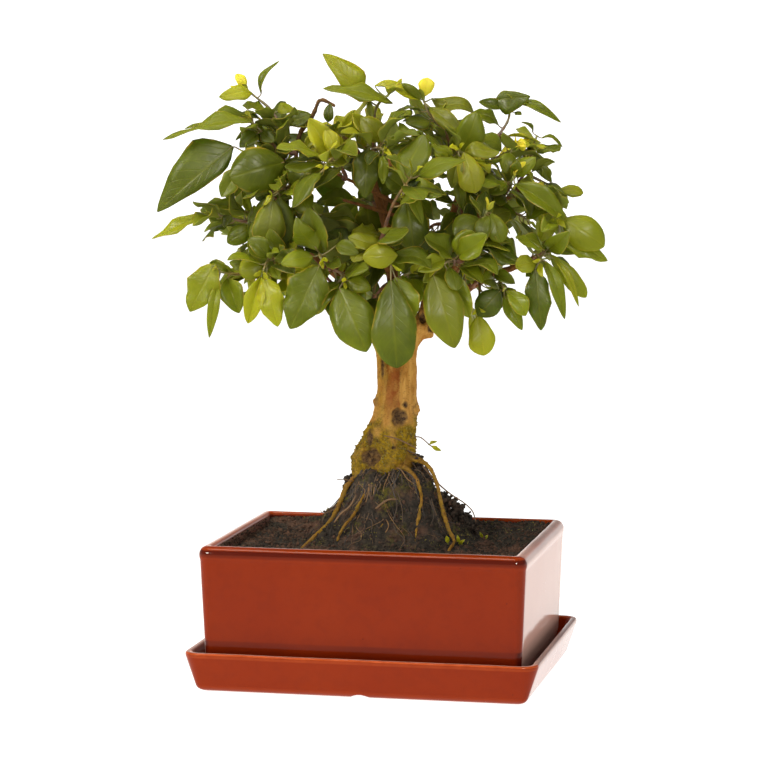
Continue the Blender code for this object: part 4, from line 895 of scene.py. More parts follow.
@dataclass(frozen=True)
class Mottled:
    """A plain matt finish between two colours, by its mesh's tone value, with darker mottles."""

    dark: tuple
    light: tuple
    rough: float
    mottle: tuple[float, float, float, float]
    relief: tuple[float, float]

    def build(self, name: str) -> bpy.types.Material:
        """Make the material.

        Args:
            name: Its name.

        Returns:
            The material. Its mesh carries a tone value.
        """
        size, detail, low, share = self.mottle
        s = Sketch(name)
        colour = s.mix(s.value("tone"), self.dark, self.light)
        colour = s.mix(s.span(s.grain(size, detail), low, 0.7, 0.0, share), colour, self.dark)
        relief = s.bump(s.grain(self.relief[0], 3.0), self.relief[1])
        return s.dress(Base_Color=colour, Roughness=self.rough, Normal=relief)


# A mottle is its size in millimetres, detail, start and share, a relief its size and depth
ROOT_HAIR = Mottled(srgb(44, 32, 23), srgb(168, 118, 58), 0.85, (1.6, 4.0, 0.42, 0.6), (0.5, 0.15))
MOSS_GREEN = Mottled(srgb(90, 82, 14), srgb(176, 150, 22), 0.9, (0.8, 3.0, 0.4, 0.5), (0.3, 0.1))


@dataclass(frozen=True)
class LeafGreen:
    """A waxy privet leaf: dark with age and where painted shade darkens the crown's middle, yellow when it
    unfolds, paler underneath.
    """

    old_and_shaded: tuple = srgb(46, 58, 16)
    grown: tuple = srgb(130, 138, 22)
    fresh: tuple = srgb(184, 180, 30)
    new: tuple = srgb(250, 232, 66)
    back: tuple = srgb(150, 154, 66)
    margin: tuple = srgb(198, 158, 56)
    speck: tuple = srgb(110, 84, 34)
    rough: tuple[float, float] = (0.32, 0.46)
    glow: float = 0.22
    glow_reach: Point = (0.6, 1.0, 0.15)
    glow_scale: float = 0.0008
    ior: float = 1.2

    def build(self, name: str) -> bpy.types.Material:
        """Make the material.

        Args:
            name: Its name.

        Returns:
            The material. Its mesh carries along, across, youth, tone and under values.
        """
        s = Sketch(name)
        along, across = s.value("along"), s.maths("ABSOLUTE", s.value("across"))
        youth, under = s.value("youth"), s.value("under")
        slant = s.maths("SUBTRACT", s.times(along, 8.0), s.times(across, 2.3))
        ribs = s.span(s.maths("PINGPONG", slant, 0.5), 0.0, 0.09, 1.0, 0.0)
        ribs = s.times(ribs, s.span(across, 0.75, 0.95, 1.0, 0.0))
        midrib = s.span(across, 0.02, 0.1, 1.0, 0.0)
        veins = s.maths("MAXIMUM", s.times(ribs, 0.55), midrib)
        cloud = s.grain(13.0, 3.0, 0.6)
        tone = s.maths("ADD", s.value("tone"), s.span(cloud, 0.3, 0.7, -0.14, 0.14))
        colour = s.mix(s.span(tone, 0.0, 1.0), self.old_and_shaded, self.grown)
        colour = s.mix(s.span(youth, 0.1, 0.6), colour, self.fresh)
        colour = s.mix(s.span(youth, 0.6, 1.0), colour, self.new)
        colour = s.mix(s.times(veins, 0.16), colour, s.mix(0.5, colour, self.fresh))
        edge = s.times(s.span(across, 0.9, 1.0), s.span(s.grain(9.0), 0.45, 0.6, 0.05, 0.7))
        colour = s.mix(edge, colour, self.margin)
        speck = s.times(s.span(s.cells(2.6), 0.03, 0.07, 0.3, 0.0), s.span(s.grain(16.0), 0.5, 0.62))
        colour = s.mix(speck, colour, self.speck)
        colour = s.mix(s.times(under, 0.5), colour, self.back)
        pillow = s.bump(s.rest(veins), 0.1)
        pillow = s.bump(s.grain(4.5, 1.0), 0.2, pillow)
        pillow = s.bump(s.grain(0.9, 1.0), 0.008, pillow)
        rough = s.maths("ADD", s.span(cloud, 0.3, 0.7, *self.rough), s.times(under, 0.2))
        return s.dress(Base_Color=colour, Roughness=rough, Normal=pillow, IOR=self.ior,
                       Subsurface_Weight=self.glow, Subsurface_Radius=self.glow_reach,
                       Subsurface_Scale=self.glow_scale)


@dataclass(frozen=True)
class TwigBark:
    """Twigs and stalks: orange-brown wood, green where it is young."""

    wood: tuple = srgb(140, 88, 50)
    dark: tuple = srgb(84, 56, 36)
    green: tuple = srgb(140, 150, 52)
    rough: float = 0.6

    def build(self, name: str) -> bpy.types.Material:
        """Make the material.

        Args:
            name: Its name.

        Returns:
            The material. Its mesh carries a youth value.
        """
        s = Sketch(name)
        colour = s.mix(s.span(s.grain(2.5, 4.0, 0.6), 0.4, 0.7), self.wood, self.dark)
        colour = s.mix(s.span(s.value("youth"), 0.15, 0.75), colour, self.green)
        lumps = s.bump(s.span(s.cells(1.1), 0.1, 0.3), 0.08)
        return s.dress(Base_Color=colour, Roughness=self.rough, Normal=lumps)


@dataclass(frozen=True)
class MeshPlastic:
    """Black moulded plastic, dusty with peat."""

    colour: tuple = srgb(24, 24, 24)
    dust: tuple = srgb(62, 46, 36)
    rough: float = 0.55

    def build(self, name: str) -> bpy.types.Material:
        """Make the material.

        Args:
            name: Its name.

        Returns:
            The material.
        """
        s = Sketch(name)
        colour = s.mix(s.span(s.grain(2.0, 4.0), 0.45, 0.7, 0.0, 0.5), self.colour, self.dust)
        return s.dress(Base_Color=colour, Roughness=self.rough, Normal=s.bump(s.grain(0.5, 2.0), 0.05))


# Sprays that the front shows

SHOWN_SPRAYS = (
    # The young shoot at the top left
    Spray(((-44, -2, 242), (-47, 2, 254), (-53, 2, 264), (-60, 2, 270), (-63, 2, 272.5)), (
        Leaf((-63, 2, 273), (-69, 3, 280.5), 5, 15), Leaf((-61.5, 2, 271.5), (-76.5, 4, 270), 8, 25),
        Leaf((-57.5, 2, 271.5), (-49, 1, 286.5), 5, 72, Habit.HOOKED),
        Leaf((-54, 2, 264.5), (-66, 5, 266), 7, 50, Habit.WAVY),
        Leaf((-52, 2, 263), (-42.5, 1, 264.8), 7, 40), Leaf((-48, 2, 257), (-34.5, 5, 262), 9, 30),
        Leaf((-63.5, 2, 273.5), (-72, 3, 275), 3, 60))),
    # Long wavy leaves at the far left
    Spray(((-43, -2, 238), (-50, 6, 246), (-57, 7, 254), (-61, 7, 258)), (
        Leaf((-61.5, 7, 260.5), (-92.5, 5, 255.5), 11, 65, Habit.RIBBON),
        Leaf((-62, 8, 258.5), (-102, 9, 250.7), 10, 60, Habit.RIBBON),
        Leaf((-58, 8, 254), (-67, 13, 247), 10, 15, Habit.FOLDED),
        Leaf((-57, 8, 257), (-51, 12, 249.5), 8, 10))),
    # The big pointed leaf and the round dark one
    Spray(((-44, -4, 209.5), (-50, 8, 222), (-55, 14, 236), (-62, 16, 244)), (
        Leaf((-70, 16, 247.5), (-104.5, 17, 217.8), 21, 10, Habit.CORNERED),
        Leaf((-67, 18, 238), (-75, 20, 224.8), 9, 10),
        Leaf((-46, 18, 240.5), (-71, 24, 233.5), 21, 5, Habit.ROUND),
        Leaf((-49, 10, 238), (-36.5, 15, 235), 11, 10), Leaf((-60, 15, 236), (-69, 14, 224.5), 6, 20))),
    # Level leaves at the left
    Spray(((-58, -2, 215), (-66, 6, 213), (-73, 8, 215), (-79, 8, 216)), (
        Leaf((-65, 6, 217.5), (-84, 6, 219.7), 8, 40, Habit.FOLDED),
        Leaf((-80, 8, 216), (-108, 7, 205), 8, 45, Habit.RIBBON),
        Leaf((-62, 9, 210.5), (-73, 11, 203.3), 9, 5, Habit.ROUND),
        Leaf((-71.5, 10, 216), (-74.3, 13, 210.5), 5, 15),
        Leaf((-61.5, 10, 219.5), (-63, 12, 208), 4, 10), Leaf((-62, 8, 217), (-66, 12, 227), 5, 20))),
    # The hanging dark pair inside the left
    Spray(((-38, -4, 228), (-43, 10, 229), (-48, 20, 228), (-51, 25, 226)), (
        Leaf((-52, 25, 225), (-54.5, 28, 202.5), 15, 8, Habit.BLUNT),
        Leaf((-48, 22, 227), (-46, 26, 203.5), 12, 12, Habit.BLUNT),
        Leaf((-45, 15, 230), (-33, 22, 240), 12, 25))),
    # The lowest left cluster
    Spray(((-54, 17, 189), (-62, 28, 190.5), (-69, 37, 190.5), (-75, 42, 192)), (
        Leaf((-77, 43, 195.5), (-88.3, 45, 174.3), 14.5, 8, Habit.WAVY),
        Leaf((-75.5, 42, 188), (-79.8, 43, 162.3), 6, 5, Habit.HOOKED),
        Leaf((-72, 39, 188.5), (-66.3, 44, 173.3), 14, 10, Habit.FOLDED),
        Leaf((-66, 31, 192), (-74.5, 30, 187.5), 5, 45))),
    Spray(((-42, 14.5, 186.5), (-47, 29, 196), (-53, 42, 197), (-55, 48, 193)), (
        Leaf((-56, 49, 190), (-62, 50, 169.3), 11.5, 8, Habit.FOLDED),
        Leaf((-54, 49, 190), (-48.5, 52, 168.2), 12, 5, Habit.WAVY),
        Leaf((-53, 43, 196), (-66, 44, 191.5), 11, 15, Habit.ROUND),
        Leaf((-53, 42, 199), (-62, 42, 207), 10, 15), Leaf((-52, 41, 198.5), (-39.5, 46, 201), 8, 35))),
    # The big leaves over the trunk, from left to right
    Spray(((-33, 42, 199), (-30, 46, 200), (-29, 50, 198)), (
        Leaf((-30, 51, 195), (-43, 55, 167.3), 19, 5, Habit.WAVY),
        Leaf((-33, 47, 199), (-47, 52, 196), 9, 20),
        Leaf((-22.5, 48, 204), (-12, 52, 200.5), 9, 15, Habit.FOLDED))),
    Spray(((-25, 28, 191), (-20, 40, 191), (-19, 48, 188)), (
        Leaf((-21, 50, 185), (-9, 56, 157), 20, 8, Habit.BROAD),
        Leaf((-18, 46, 190), (-7, 48, 184), 9, 20))),
    Spray(((-7, 39, 207), (-1, 48, 202), (2, 54, 196)), (
        Leaf((2, 56, 189), (4.5, 62, 150.3), 20, 5, Habit.BLUNT),
        Leaf((5, 55, 200), (-10.5, 58, 199.5), 11, 5, Habit.ROUND),
        Leaf((-1, 48, 204), (-17, 51, 208), 9, 25), Leaf((4, 54, 190), (12, 55, 172), 13, 8))),
    Spray(((37, 42, 202), (30, 48, 198), (24, 52, 195)), (
        Leaf((21, 54, 191), (30.3, 60, 159), 18, 5, Habit.BROAD),
        Leaf((27, 51, 194), (37, 53, 172), 10, 12), Leaf((26, 50, 198), (14, 54, 193), 9, 10))),
    Spray(((40, 6.5, 183), (42.5, 22, 186), (42, 38, 181), (41.5, 46, 176)), (
        Leaf((41, 48, 172.5), (43.6, 52, 154.8), 12, 5, Habit.BLUNT),
        Leaf((42.5, 26, 187.5), (36, 30, 197), 9, 30))),
    Spray(((47, 8, 187), (50, 24, 188), (52, 38, 186), (53, 44, 184)), (
        Leaf((51, 45, 183.5), (40.9, 47, 172.5), 12, 5, Habit.ROUND),
        Leaf((53, 45, 181), (61, 47, 165.7), 7, 8), Leaf((54, 43, 183.5), (62.5, 45, 172.5), 9, 20),
        Leaf((49, 35, 190), (58, 41, 186.3), 8, 20, Habit.FOLDED))),
    Spray(((74, 10, 198.7), (72, 24, 200), (70, 36, 198), (69, 40, 196)), (
        Leaf((67, 42, 193), (69.5, 45, 165.5), 11.5, 5, Habit.WAVY),
        Leaf((72, 38, 196), (80.3, 42, 170.3), 7, 30, Habit.HOOKED),
        Leaf((74, 30, 199), (90.6, 33, 179.4), 8, 12, Habit.BLUNT),
        Leaf((68, 39, 197), (58, 44, 194), 9, 20),
        Leaf((76, 33, 197), (87, 36, 175.5), 4, 40, Habit.HOOKED))),
    # The right side
    Spray(((66, 1, 227.5), (73, 14, 222), (77, 26, 218), (78, 31, 216)), (
        Leaf((79.5, 32, 216.5), (98.5, 34, 202.5), 15.5, 12, Habit.ROUND),
        Leaf((79, 31, 206), (100.3, 31, 195.8), 9, 22, Habit.WAVY),
        Leaf((76, 25, 217), (70, 34, 205), 10, 10))),
    Spray(((56, 0, 223), (57, 14, 229), (57, 24, 232), (58, 27, 234)), (
        Leaf((58.5, 26, 230.5), (81, 31, 214.5), 13, 28, Habit.FOLDED),
        Leaf((57, 27, 234), (60, 31, 241), 6, 10), Leaf((56, 22, 232), (47, 27, 226), 9, 30))),
    Spray(((31, 29.5, 192.7), (38, 38, 204), (43, 42, 214), (45, 43, 219)), (
        Leaf((42.5, 44, 217), (30.5, 48, 208), 13.5, 15, Habit.ROUND),
        Leaf((46, 43, 217), (43, 48, 205.5), 8.5, 15),
        Leaf((47, 43, 218), (51.8, 46, 205), 9, 15, Habit.BLUNT))),
    Spray(((34, -3, 227.5), (33, 14, 237), (33, 28, 244), (33, 33, 246)), (
        Leaf((32, 34, 246), (29.5, 38, 229), 10, 10, Habit.FOLDED),
        Leaf((35, 34, 245), (40, 38, 227), 12, 8, Habit.BLUNT),
        Leaf((34, 30, 247), (51, 36, 245), 8, 25), Leaf((33, 22, 243), (22, 24, 245), 10, 35),
        Leaf((34.5, 31, 240), (34.8, 34, 218.8), 6, 10))),
    Spray(((-8.5, -4, 242), (-6, 14, 246), (-3, 26, 247), (-1, 33, 246)), (
        Leaf((-2, 34, 244.5), (18, 38, 239), 14, 12, Habit.ROUND),
        Leaf((-3, 32, 245), (-1.5, 36, 231), 5, 10),
        Leaf((-8, 25, 247), (-10, 31, 224.5), 13, 10, Habit.WAVY),
        Leaf((-1, 17, 250), (-11.5, 20, 260.5), 11, 25, Habit.BROAD))),
    Spray(((10.5, 9, 222), (10, 22, 227), (10, 33, 227)), (
        Leaf((9, 35, 223), (12.5, 40, 201.5), 17, 10, Habit.ROUND),
        Leaf((11, 36, 227), (16.5, 42, 213), 6, 10, Habit.HOOKED),
        Leaf((10, 28, 228), (-2, 33, 236), 10, 20), Leaf((10, 20, 228), (22, 26, 232), 11, 30))),
    # The top
    Spray(((-10.5, -2, 253), (-5, 3, 263), (0, 5, 270), (4, 5, 273)), (
        Leaf((-11.5, 4, 271), (-29, 4, 289.6), 13, 10, Habit.CORNERED),
        Leaf((3, 5, 267), (-28.7, 8, 273.8), 9, 42, Habit.WAVY),
        Leaf((-5, 1, 275), (15, 2, 268.7), 8, 45), Leaf((-7.5, 6, 268), (-6.5, 8, 260), 4, 15))),
    Spray(((36.5, -2, 239), (28, 3, 252), (20, 5, 262), (17.5, 5, 268)), (
        Leaf((18, 5, 270), (19.2, 6, 278.7), 7.5, 5, Habit.BLUNT),
        Leaf((17, 6, 268.5), (7, 8, 276), 4.5, 10), Leaf((21, 4, 269), (40.5, 4, 262.2), 10, 45),
        Leaf((17, 7, 266), (39, 14, 249), 8, 25, Habit.RIBBON),
        Leaf((24, 4, 260), (9, 10, 258), 10, 40))),
    Spray(((53.5, -2, 252), (56, 0, 258), (57.5, 1, 264)), (
        Leaf((50.5, 2, 268.5), (66.5, 4, 270), 11.5, 8, Habit.CORNERED),
        Leaf((60, -1, 267), (80.7, 3, 258), 5.5, 32, Habit.HOOKED),
        Leaf((54, 1, 264.5), (42.7, 5, 267.5), 7, 35), Leaf((52, 1, 256.8), (39.5, 5, 262.5), 8, 40),
        Leaf((58.2, 2, 263), (62.5, 4, 261.5), 3, 40))),
    Spray(((62, 0.5, 225.5), (66, -2, 238), (68, -3, 246), (70, -3, 252)), (
        Leaf((71, -3, 252), (81.8, -2, 246.5), 5, 68, Habit.HOOKED),
        Leaf((69, -3, 253), (62.6, -2, 258.2), 4, 65, Habit.HOOKED),
        Leaf((69, -2, 243), (81, 0, 246.5), 5, 45),
        Leaf((67.5, 0, 241), (76.5, 4, 230.5), 6.5, 15, Habit.HOOKED))),
    Spray(((69, 1, 228.6), (74, 6, 230), (77, 8, 230)), (
        Leaf((79, 8, 227), (90.8, 9, 225.7), 6.5, 35, Habit.BLUNT),
        Leaf((75.5, 8, 231.5), (72, 10, 238.5), 5, 25), Leaf((76.5, 7, 228), (83, 12, 218.5), 7, 30))),
    Spray(((45, -2, 238.7), (51, 8, 242), (56, 14, 245), (58, 17, 247)), (
        Leaf((58, 17, 246.5), (63.8, 19, 248.8), 6, 10, Habit.ROUND),
        Leaf((57, 17, 246), (54, 21, 235), 8, 15), Leaf((54, 12, 246), (43, 16, 252), 11, 40))),
    Spray(((-9, -4, 246), (-17, 4, 250), (-24, 9, 253), (-28, 11, 255)), (
        Leaf((-26.5, 12, 254), (-25, 17, 242), 10.5, 12, Habit.FOLDED),
        Leaf((-18.5, 8, 251), (-14, 11, 264.2), 7.5, 10),
        Leaf((-29, 11, 254), (-37.5, 14, 246.5), 6, 25),
        Leaf((-26.5, 11, 258.5), (-25.5, 12, 267), 5, 20))),
    # Behind the hollow
    Spray(((-2, -4, 217), (-6, -12, 221), (-10, -20, 222), (-13, -26, 221)), (
        Leaf((-12, -24, 220), (-27, -24, 206), 14, 10), Leaf((-8, -20, 221), (-6, -20, 202), 14, 5),
        Leaf((-5, -14, 221), (10, -16, 212), 12, 10), Leaf((-6, -12, 224), (8, -14, 237), 13, 15),
        Leaf((-14, -26, 220), (-33, -26, 220), 9, 10), Leaf((-9, -18, 224), (-9, -19, 243), 13, 12))),
)


# Planter

def rounded(profile: Sequence[Point], steps: int = 6, run: float = 3.0) -> list[tuple[float, float]]:
    """A profile with its corners rounded.

    Args:
        profile: Its corners: inset, height, and how far from the corner the rounding starts.
        steps: Parts of each rounding.
        run: The longest step between two points.

    Returns:
        The (inset, height) points, the first and last as given.
    """
    made = [Vector(profile[0][:2])]
    for before, corner, after in zip(profile, profile[1:], profile[2:]):
        place = Vector(corner[:2])
        back, ahead = Vector(before[:2]) - place, Vector(after[:2]) - place
        reach = min(corner[2], 0.48 * back.length, 0.48 * ahead.length)
        start, end = place + back.normalized() * reach, place + ahead.normalized() * reach
        for k in range(steps + 1):
            t = k / steps
            made.append(start * (1 - t) ** 2 + place * (2 * t * (1 - t)) + end * t * t)
    made.append(Vector(profile[-1][:2]))
    rows = [tuple(made[0])]
    for start, end in zip(made, made[1:]):
        parts = max(1, math.ceil((end - start).length / run))
        rows.extend(tuple(start.lerp(end, k / parts)) for k in range(1, parts + 1))
    return rows


@dataclass
class Vessel:
    """A rounded rectangular vessel, lofted from under its foot, over its rim, to its floor."""

    name: str
    length: float
    depth: float
    corner: float
    foot_z: float
    profile: tuple[Point, ...]
    finish: bpy.types.Material
    drains: tuple[float, ...] = ()
    corner_steps: int = 10
    end_steps: int = 32
    run_steps: int = 20
    notch_steps: int = 25
    wobble: float = 0.14
    wobble_size: float = 30.0
    sharp: float = math.radians(42)

    def outline(self, inset: float) -> np.ndarray:
        """The vessel's outline at an inset.

        Args:
            inset: The inset.

        Returns:
            Its (x, y) points, anticlockwise.
        """
        half_x, half_y = self.length / 2 - inset, self.depth / 2 - inset
        radius = max(self.corner - inset, 2.0)
        run_x, run_y = half_x - radius, half_y - radius
        turn = np.linspace(0.0, math.pi / 2, self.corner_steps + 1)
        corner = radius * np.column_stack((np.cos(turn), np.sin(turn)))
        notch = NOTCH_WIDTH * 0.66
        xs = np.concatenate((np.linspace(run_x, notch, self.run_steps)[1:],
                             np.linspace(notch, -notch, self.notch_steps)[1:],
                             np.linspace(-notch, -run_x, self.run_steps)[1:-1]))
        ys = np.linspace(run_y, -run_y, self.end_steps)[1:-1]
        back = np.column_stack((xs, np.full(len(xs), half_y)))
        left = np.column_stack((np.full(len(ys), -half_x), ys))
        quarter = corner[:, ::-1] * (-1, 1)
        half = np.concatenate((corner + (run_x, run_y), back, quarter + (-run_x, run_y), left))
        return np.concatenate((half, -half))

    def notched(self, points: np.ndarray) -> np.ndarray:
        """Press the arched water notch into the foot, front and back.

        Args:
            points: Points of the vessel.

        Returns:
            The same points, those over the notch lifted.
        """
        radius = ((NOTCH_WIDTH / 2) ** 2 + NOTCH_HEIGHT ** 2) / (2 * NOTCH_HEIGHT)
        arch = np.sqrt(np.maximum(radius ** 2 - points[:, 0] ** 2, 0.0)) - radius + NOTCH_HEIGHT
        points[:, 2] = np.maximum(points[:, 2], self.foot_z + np.maximum(arch, 0.0))
        return points

    def crests(self, rows: Sequence[tuple[float, float]]) -> np.ndarray:
        """How sharply the profile turns outwards.

        Args:
            rows: The profile's (inset, height) points.

        Returns:
            A number from 0 to 1 for each of them.
        """
        course = np.array(rows) * (-1, 1)
        ahead = np.diff(course, axis=0)
        size = np.linalg.norm(ahead, axis=1)
        ahead /= size[:, None]
        turn = ahead[:-1, 0] * ahead[1:, 1] - ahead[:-1, 1] * ahead[1:, 0]
        bend = turn / np.maximum((size[:-1] + size[1:]) / 2, 0.05)
        return np.concatenate(([0.0], np.clip((bend - 0.15) / 0.6, 0.0, 1.0), [0.0]))

    def build(self) -> bpy.types.Object:
        """Make the vessel in place of its solid.

        Returns:
            The vessel.
        """
        rows = rounded(self.profile)
        crests = self.crests(rows)
        rings = []
        for inset, z in rows:
            flat = self.outline(inset)
            rings.append(self.notched(np.column_stack((flat, np.full(len(flat), z)))))
        count = len(rings[0])
        points = np.concatenate(rings)
        sway = np.array([noise.noise_vector(Vector(p) / self.wobble_size) for p in points])
        points += sway * self.wobble * np.clip((points[:, 2:] - self.foot_z - 0.4) / 3.0, 0.0, 1.0)
        bare = [float(z < self.foot_z + 0.3) for _, z in rows]
        draft = MeshDraft("crest", "bare")
        draft.add(points, ring_faces(len(rings), count), crest=np.repeat(crests, count),
                  bare=np.repeat(bare, count))
        thing = draft.make(self.name + "_glazed", [self.finish])
        for x in self.drains:
            self.drill(thing, x)
        thing.data.set_sharp_from_angle(angle=self.sharp)
        return settle(thing, Slot.GLAZE, self.name)

    def drill(self, thing: bpy.types.Object, x: float) -> None:
        """Cut a round drain hole through the floor.

        Args:
            thing: The vessel.
            x: Where the hole's axis is, along the vessel.
        """
        rings = np.array(((x, 0.0, self.foot_z - 8.0), (x, 0.0, self.foot_z + 16.0)))
        cutter = MeshDraft()
        cutter.add(*swept(rings, np.full(2, DRAIN_RADIUS), 40))
        drill = cutter.make("drill", [self.finish])
        modifier = thing.modifiers.new("drain", "BOOLEAN")
        modifier.operation = "DIFFERENCE"
        modifier.solver = "EXACT"
        modifier.object = drill
        kept_mesh(thing)
        bpy.data.objects.remove(drill, do_unlink=True)


def saucer(finish: bpy.types.Material) -> Vessel:
    """The flared saucer on its foot ring.

    Args:
        finish: Its glaze.

    Returns:
        The saucer, ready to build.
    """
    rim = SAUCER_HEIGHT
    profile = ((60.0, SAUCER_FOOT + 0.4, 0.0), (FOOT_RING_IN + 1.4, SAUCER_FOOT, 1.0),
               (FOOT_RING_IN, 0.0, 0.7), (FOOT_RING_OUT, 0.0, 1.6), (5.4, 1.9, 2.4),
               (0.3, rim - 1.6, 1.0), (0.6, rim - 0.05, 1.0), (3.0, rim, 0.9), (4.1, rim - 1.3, 1.2),
               (8.9, SAUCER_FLOOR_Z + 0.8, 3.0), (14.0, SAUCER_FLOOR_Z, 2.0), (50.0, SAUCER_FLOOR_Z, 0.0))
    return Vessel("saucer", SAUCER_LENGTH, SAUCER_DEPTH, SAUCER_CORNER, 0.0, profile, finish)


def pot(finish: bpy.types.Material) -> Vessel:
    """The pot, with its rolled rim and two drain holes.

    Args:
        finish: Its glaze.

    Returns:
        The pot, ready to build.
    """
    base, rim = POT_BASE_Z, POT_RIM_Z
    foot = POT_TAPER + POT_EDGE
    profile = ((50.0, base + POT_FOOT, 0.0), (foot + 8.0, base + POT_FOOT, 1.0), (foot + 7.0, base, 0.8),
               (foot - 1.0, base, 2.0), (POT_TAPER + 1.5, base + 1.6, 2.4), (POT_TAPER, base + POT_EDGE, 3.0),
               (0.52, rim - 6.6, 1.0), (0.1, rim - 5.2, 1.0), (0.0, rim - 3.2, 1.6), (1.2, rim - 0.9, 1.6),
               (3.4, rim, 1.4), (POT_WALL - 0.9, rim - 0.1, 0.9), (POT_WALL, rim - 1.4, 1.2),
               (POT_WALL + 1.4, POT_FLOOR_Z + 2.7, 2.0), (POT_WALL + 4.5, POT_FLOOR_Z, 2.0),
               (50.0, POT_FLOOR_Z, 0.0))
    return Vessel("pot", POT_LENGTH, POT_DEPTH, POT_CORNER, base, profile, finish, (-DRAIN_X, DRAIN_X))


# Peat and roots

@dataclass
class PeatBed:
    """The peat in the pot, and the root ball that stands up out of it."""

    finish: bpy.types.Material
    cell: float = 0.9
    corner: float = 2.2
    wall: float = POT_WALL + 0.12
    heaped: float = 4.7
    heap_start: float = 12.0
    heap_run: float = 26.0
    sway: float = 2.4
    sway_size: float = 13.0
    steep_from: float = 62.0
    wall_bend: float = 40.0
    open_air: float = 57.0
    curve: np.ndarray = field(default_factory=lambda: flowing(np.array([(*row, 0.0) for row in MOUND]), 0.8))

    def level(self, x: float, y: float) -> float:
        """The peat's height at a place, with its larger lumps.

        Args:
            x: The place, in millimetres.
            y: The same towards the back.

        Returns:
            The height in millimetres.
        """
        across, front, _ = tree_place((x, y, 0.0))
        across -= MOUND_CENTRE[0]
        front -= MOUND_CENTRE[1]
        stretch = MOUND_RIGHT_STRETCH if across > 0 else 1.0
        distance = math.hypot(across / stretch, front)
        shift = self.sway * noise.noise(Vector((x, y, 9.0)) / self.sway_size)
        distance += shift * min(1.0, distance / 18.0)
        height = float(np.interp(distance, self.curve[:, 0], self.curve[:, 1]))
        heap = held((y + 0.35 * x - self.heap_start) / self.heap_run)
        height = max(height, SOIL_Z + self.heaped * heap * heap * (3.0 - 2.0 * heap))
        return height + SOIL_LUMP * noise.noise(Vector((x, y, 3.0)) / SOIL_LUMP_SIZE)

    def relief(self, place: Vector, steep: float) -> float:
        """How far the crumbly surface stands out.

        Args:
            place: The place, in millimetres.
            steep: How much it belongs to the root ball, from 0 to 1.

        Returns:
            The distance in millimetres.
        """
        lumps = 0.5 - noise.voronoi(place / 3.4)[0][0]
        crumbs = 0.5 - noise.voronoi(place / 1.7)[0][0]
        broad = noise.noise(place / 6.0)
        return (1.0 + steep) * (0.9 * lumps + 0.5 * crumbs) + (0.5 + 1.6 * steep) * broad

    def build(self) -> bpy.types.Object:
        """Make the peat in place of its solid.

        Returns:
            The peat, whose first points are those of its surface.
        """
        half_x, half_y = POT_LENGTH / 2 - self.wall, POT_DEPTH / 2 - self.wall
        columns, rows = round(2 * half_x / self.cell), round(2 * half_y / self.cell)
        points, moss = [], []
        for j in range(rows + 1):
            for i in range(columns + 1):
                x, y = half_x * (2 * i / columns - 1), half_y * (2 * j / rows - 1)
                out = Vector((max(abs(x) - half_x + self.corner, 0.0),
                              max(abs(y) - half_y + self.corner, 0.0)))
                if out.x > 0 and out.y > 0 and out.length > self.corner:
                    out = out.normalized() * self.corner
                    x = math.copysign(half_x - self.corner + out.x, x)
                    y = math.copysign(half_y - self.corner + out.y, y)
                height = self.level(x, y)
                normal = Vector((self.level(x - 0.6, y) - self.level(x + 0.6, y),
                                 self.level(x, y - 0.6) - self.level(x, y + 0.6), 1.2)).normalized()
                edge = min(half_x - abs(x), half_y - abs(y))
                steep = held((height - self.steep_from) / 12.0)
                rise = self.relief(Vector((x, y, height)), steep) * min(1.0, edge / 2.0)
                points.append(Vector((x, y, height)) + normal * rise)
                moss.append(held(noise.noise(Vector((x, y, height)) / 8.0) * 3.0 - 0.3) * steep)
        line = columns + 1
        faces = []
        for j in range(rows):
            for i in range(columns):
                k = j * line + i
                faces.append([k, k + 1, k + 1 + line, k + line])
        border = ([k for k in range(columns)] + [j * line + columns for j in range(rows)]
                  + [rows * line + i for i in range(columns, 0, -1)] + [j * line for j in range(rows, 0, -1)])
        bottom = POT_FLOOR_Z + GAP + MESH_THICK + GAP
        for inset, z in ((0.9993, self.wall_bend), (0.955, bottom)):
            start = len(points)
            points.extend(Vector((points[k].x * inset, points[k].y * inset, z)) for k in border)
            for k, low in enumerate(border):
                n = (k + 1) % len(border)
                faces.append([low, start + k, start + n, border[n]])
            border = list(range(start, len(points)))
        faces.append(border[::-1])
        moss.extend([0.0] * (len(points) - len(moss)))
        draft = MeshDraft("moss", "tone")
        draft.add(np.array(points), faces, moss=np.array(moss))
        return settle(draft.make("peat_bed", [self.finish]), Slot.PEAT, "soil")

    def surface(self, piece: bpy.types.Object) -> tuple[np.ndarray, np.ndarray]:
        """The points of the peat's surface.

        Args:
            piece: The peat.

        Returns:
            The points in millimetres, and their normals.
        """
        places, normals = point_rows(piece.data, "co") / MM, point_rows(piece.data, "normal")
        bare = places[:, 2] > self.open_air
        return places[bare], normals[bare]


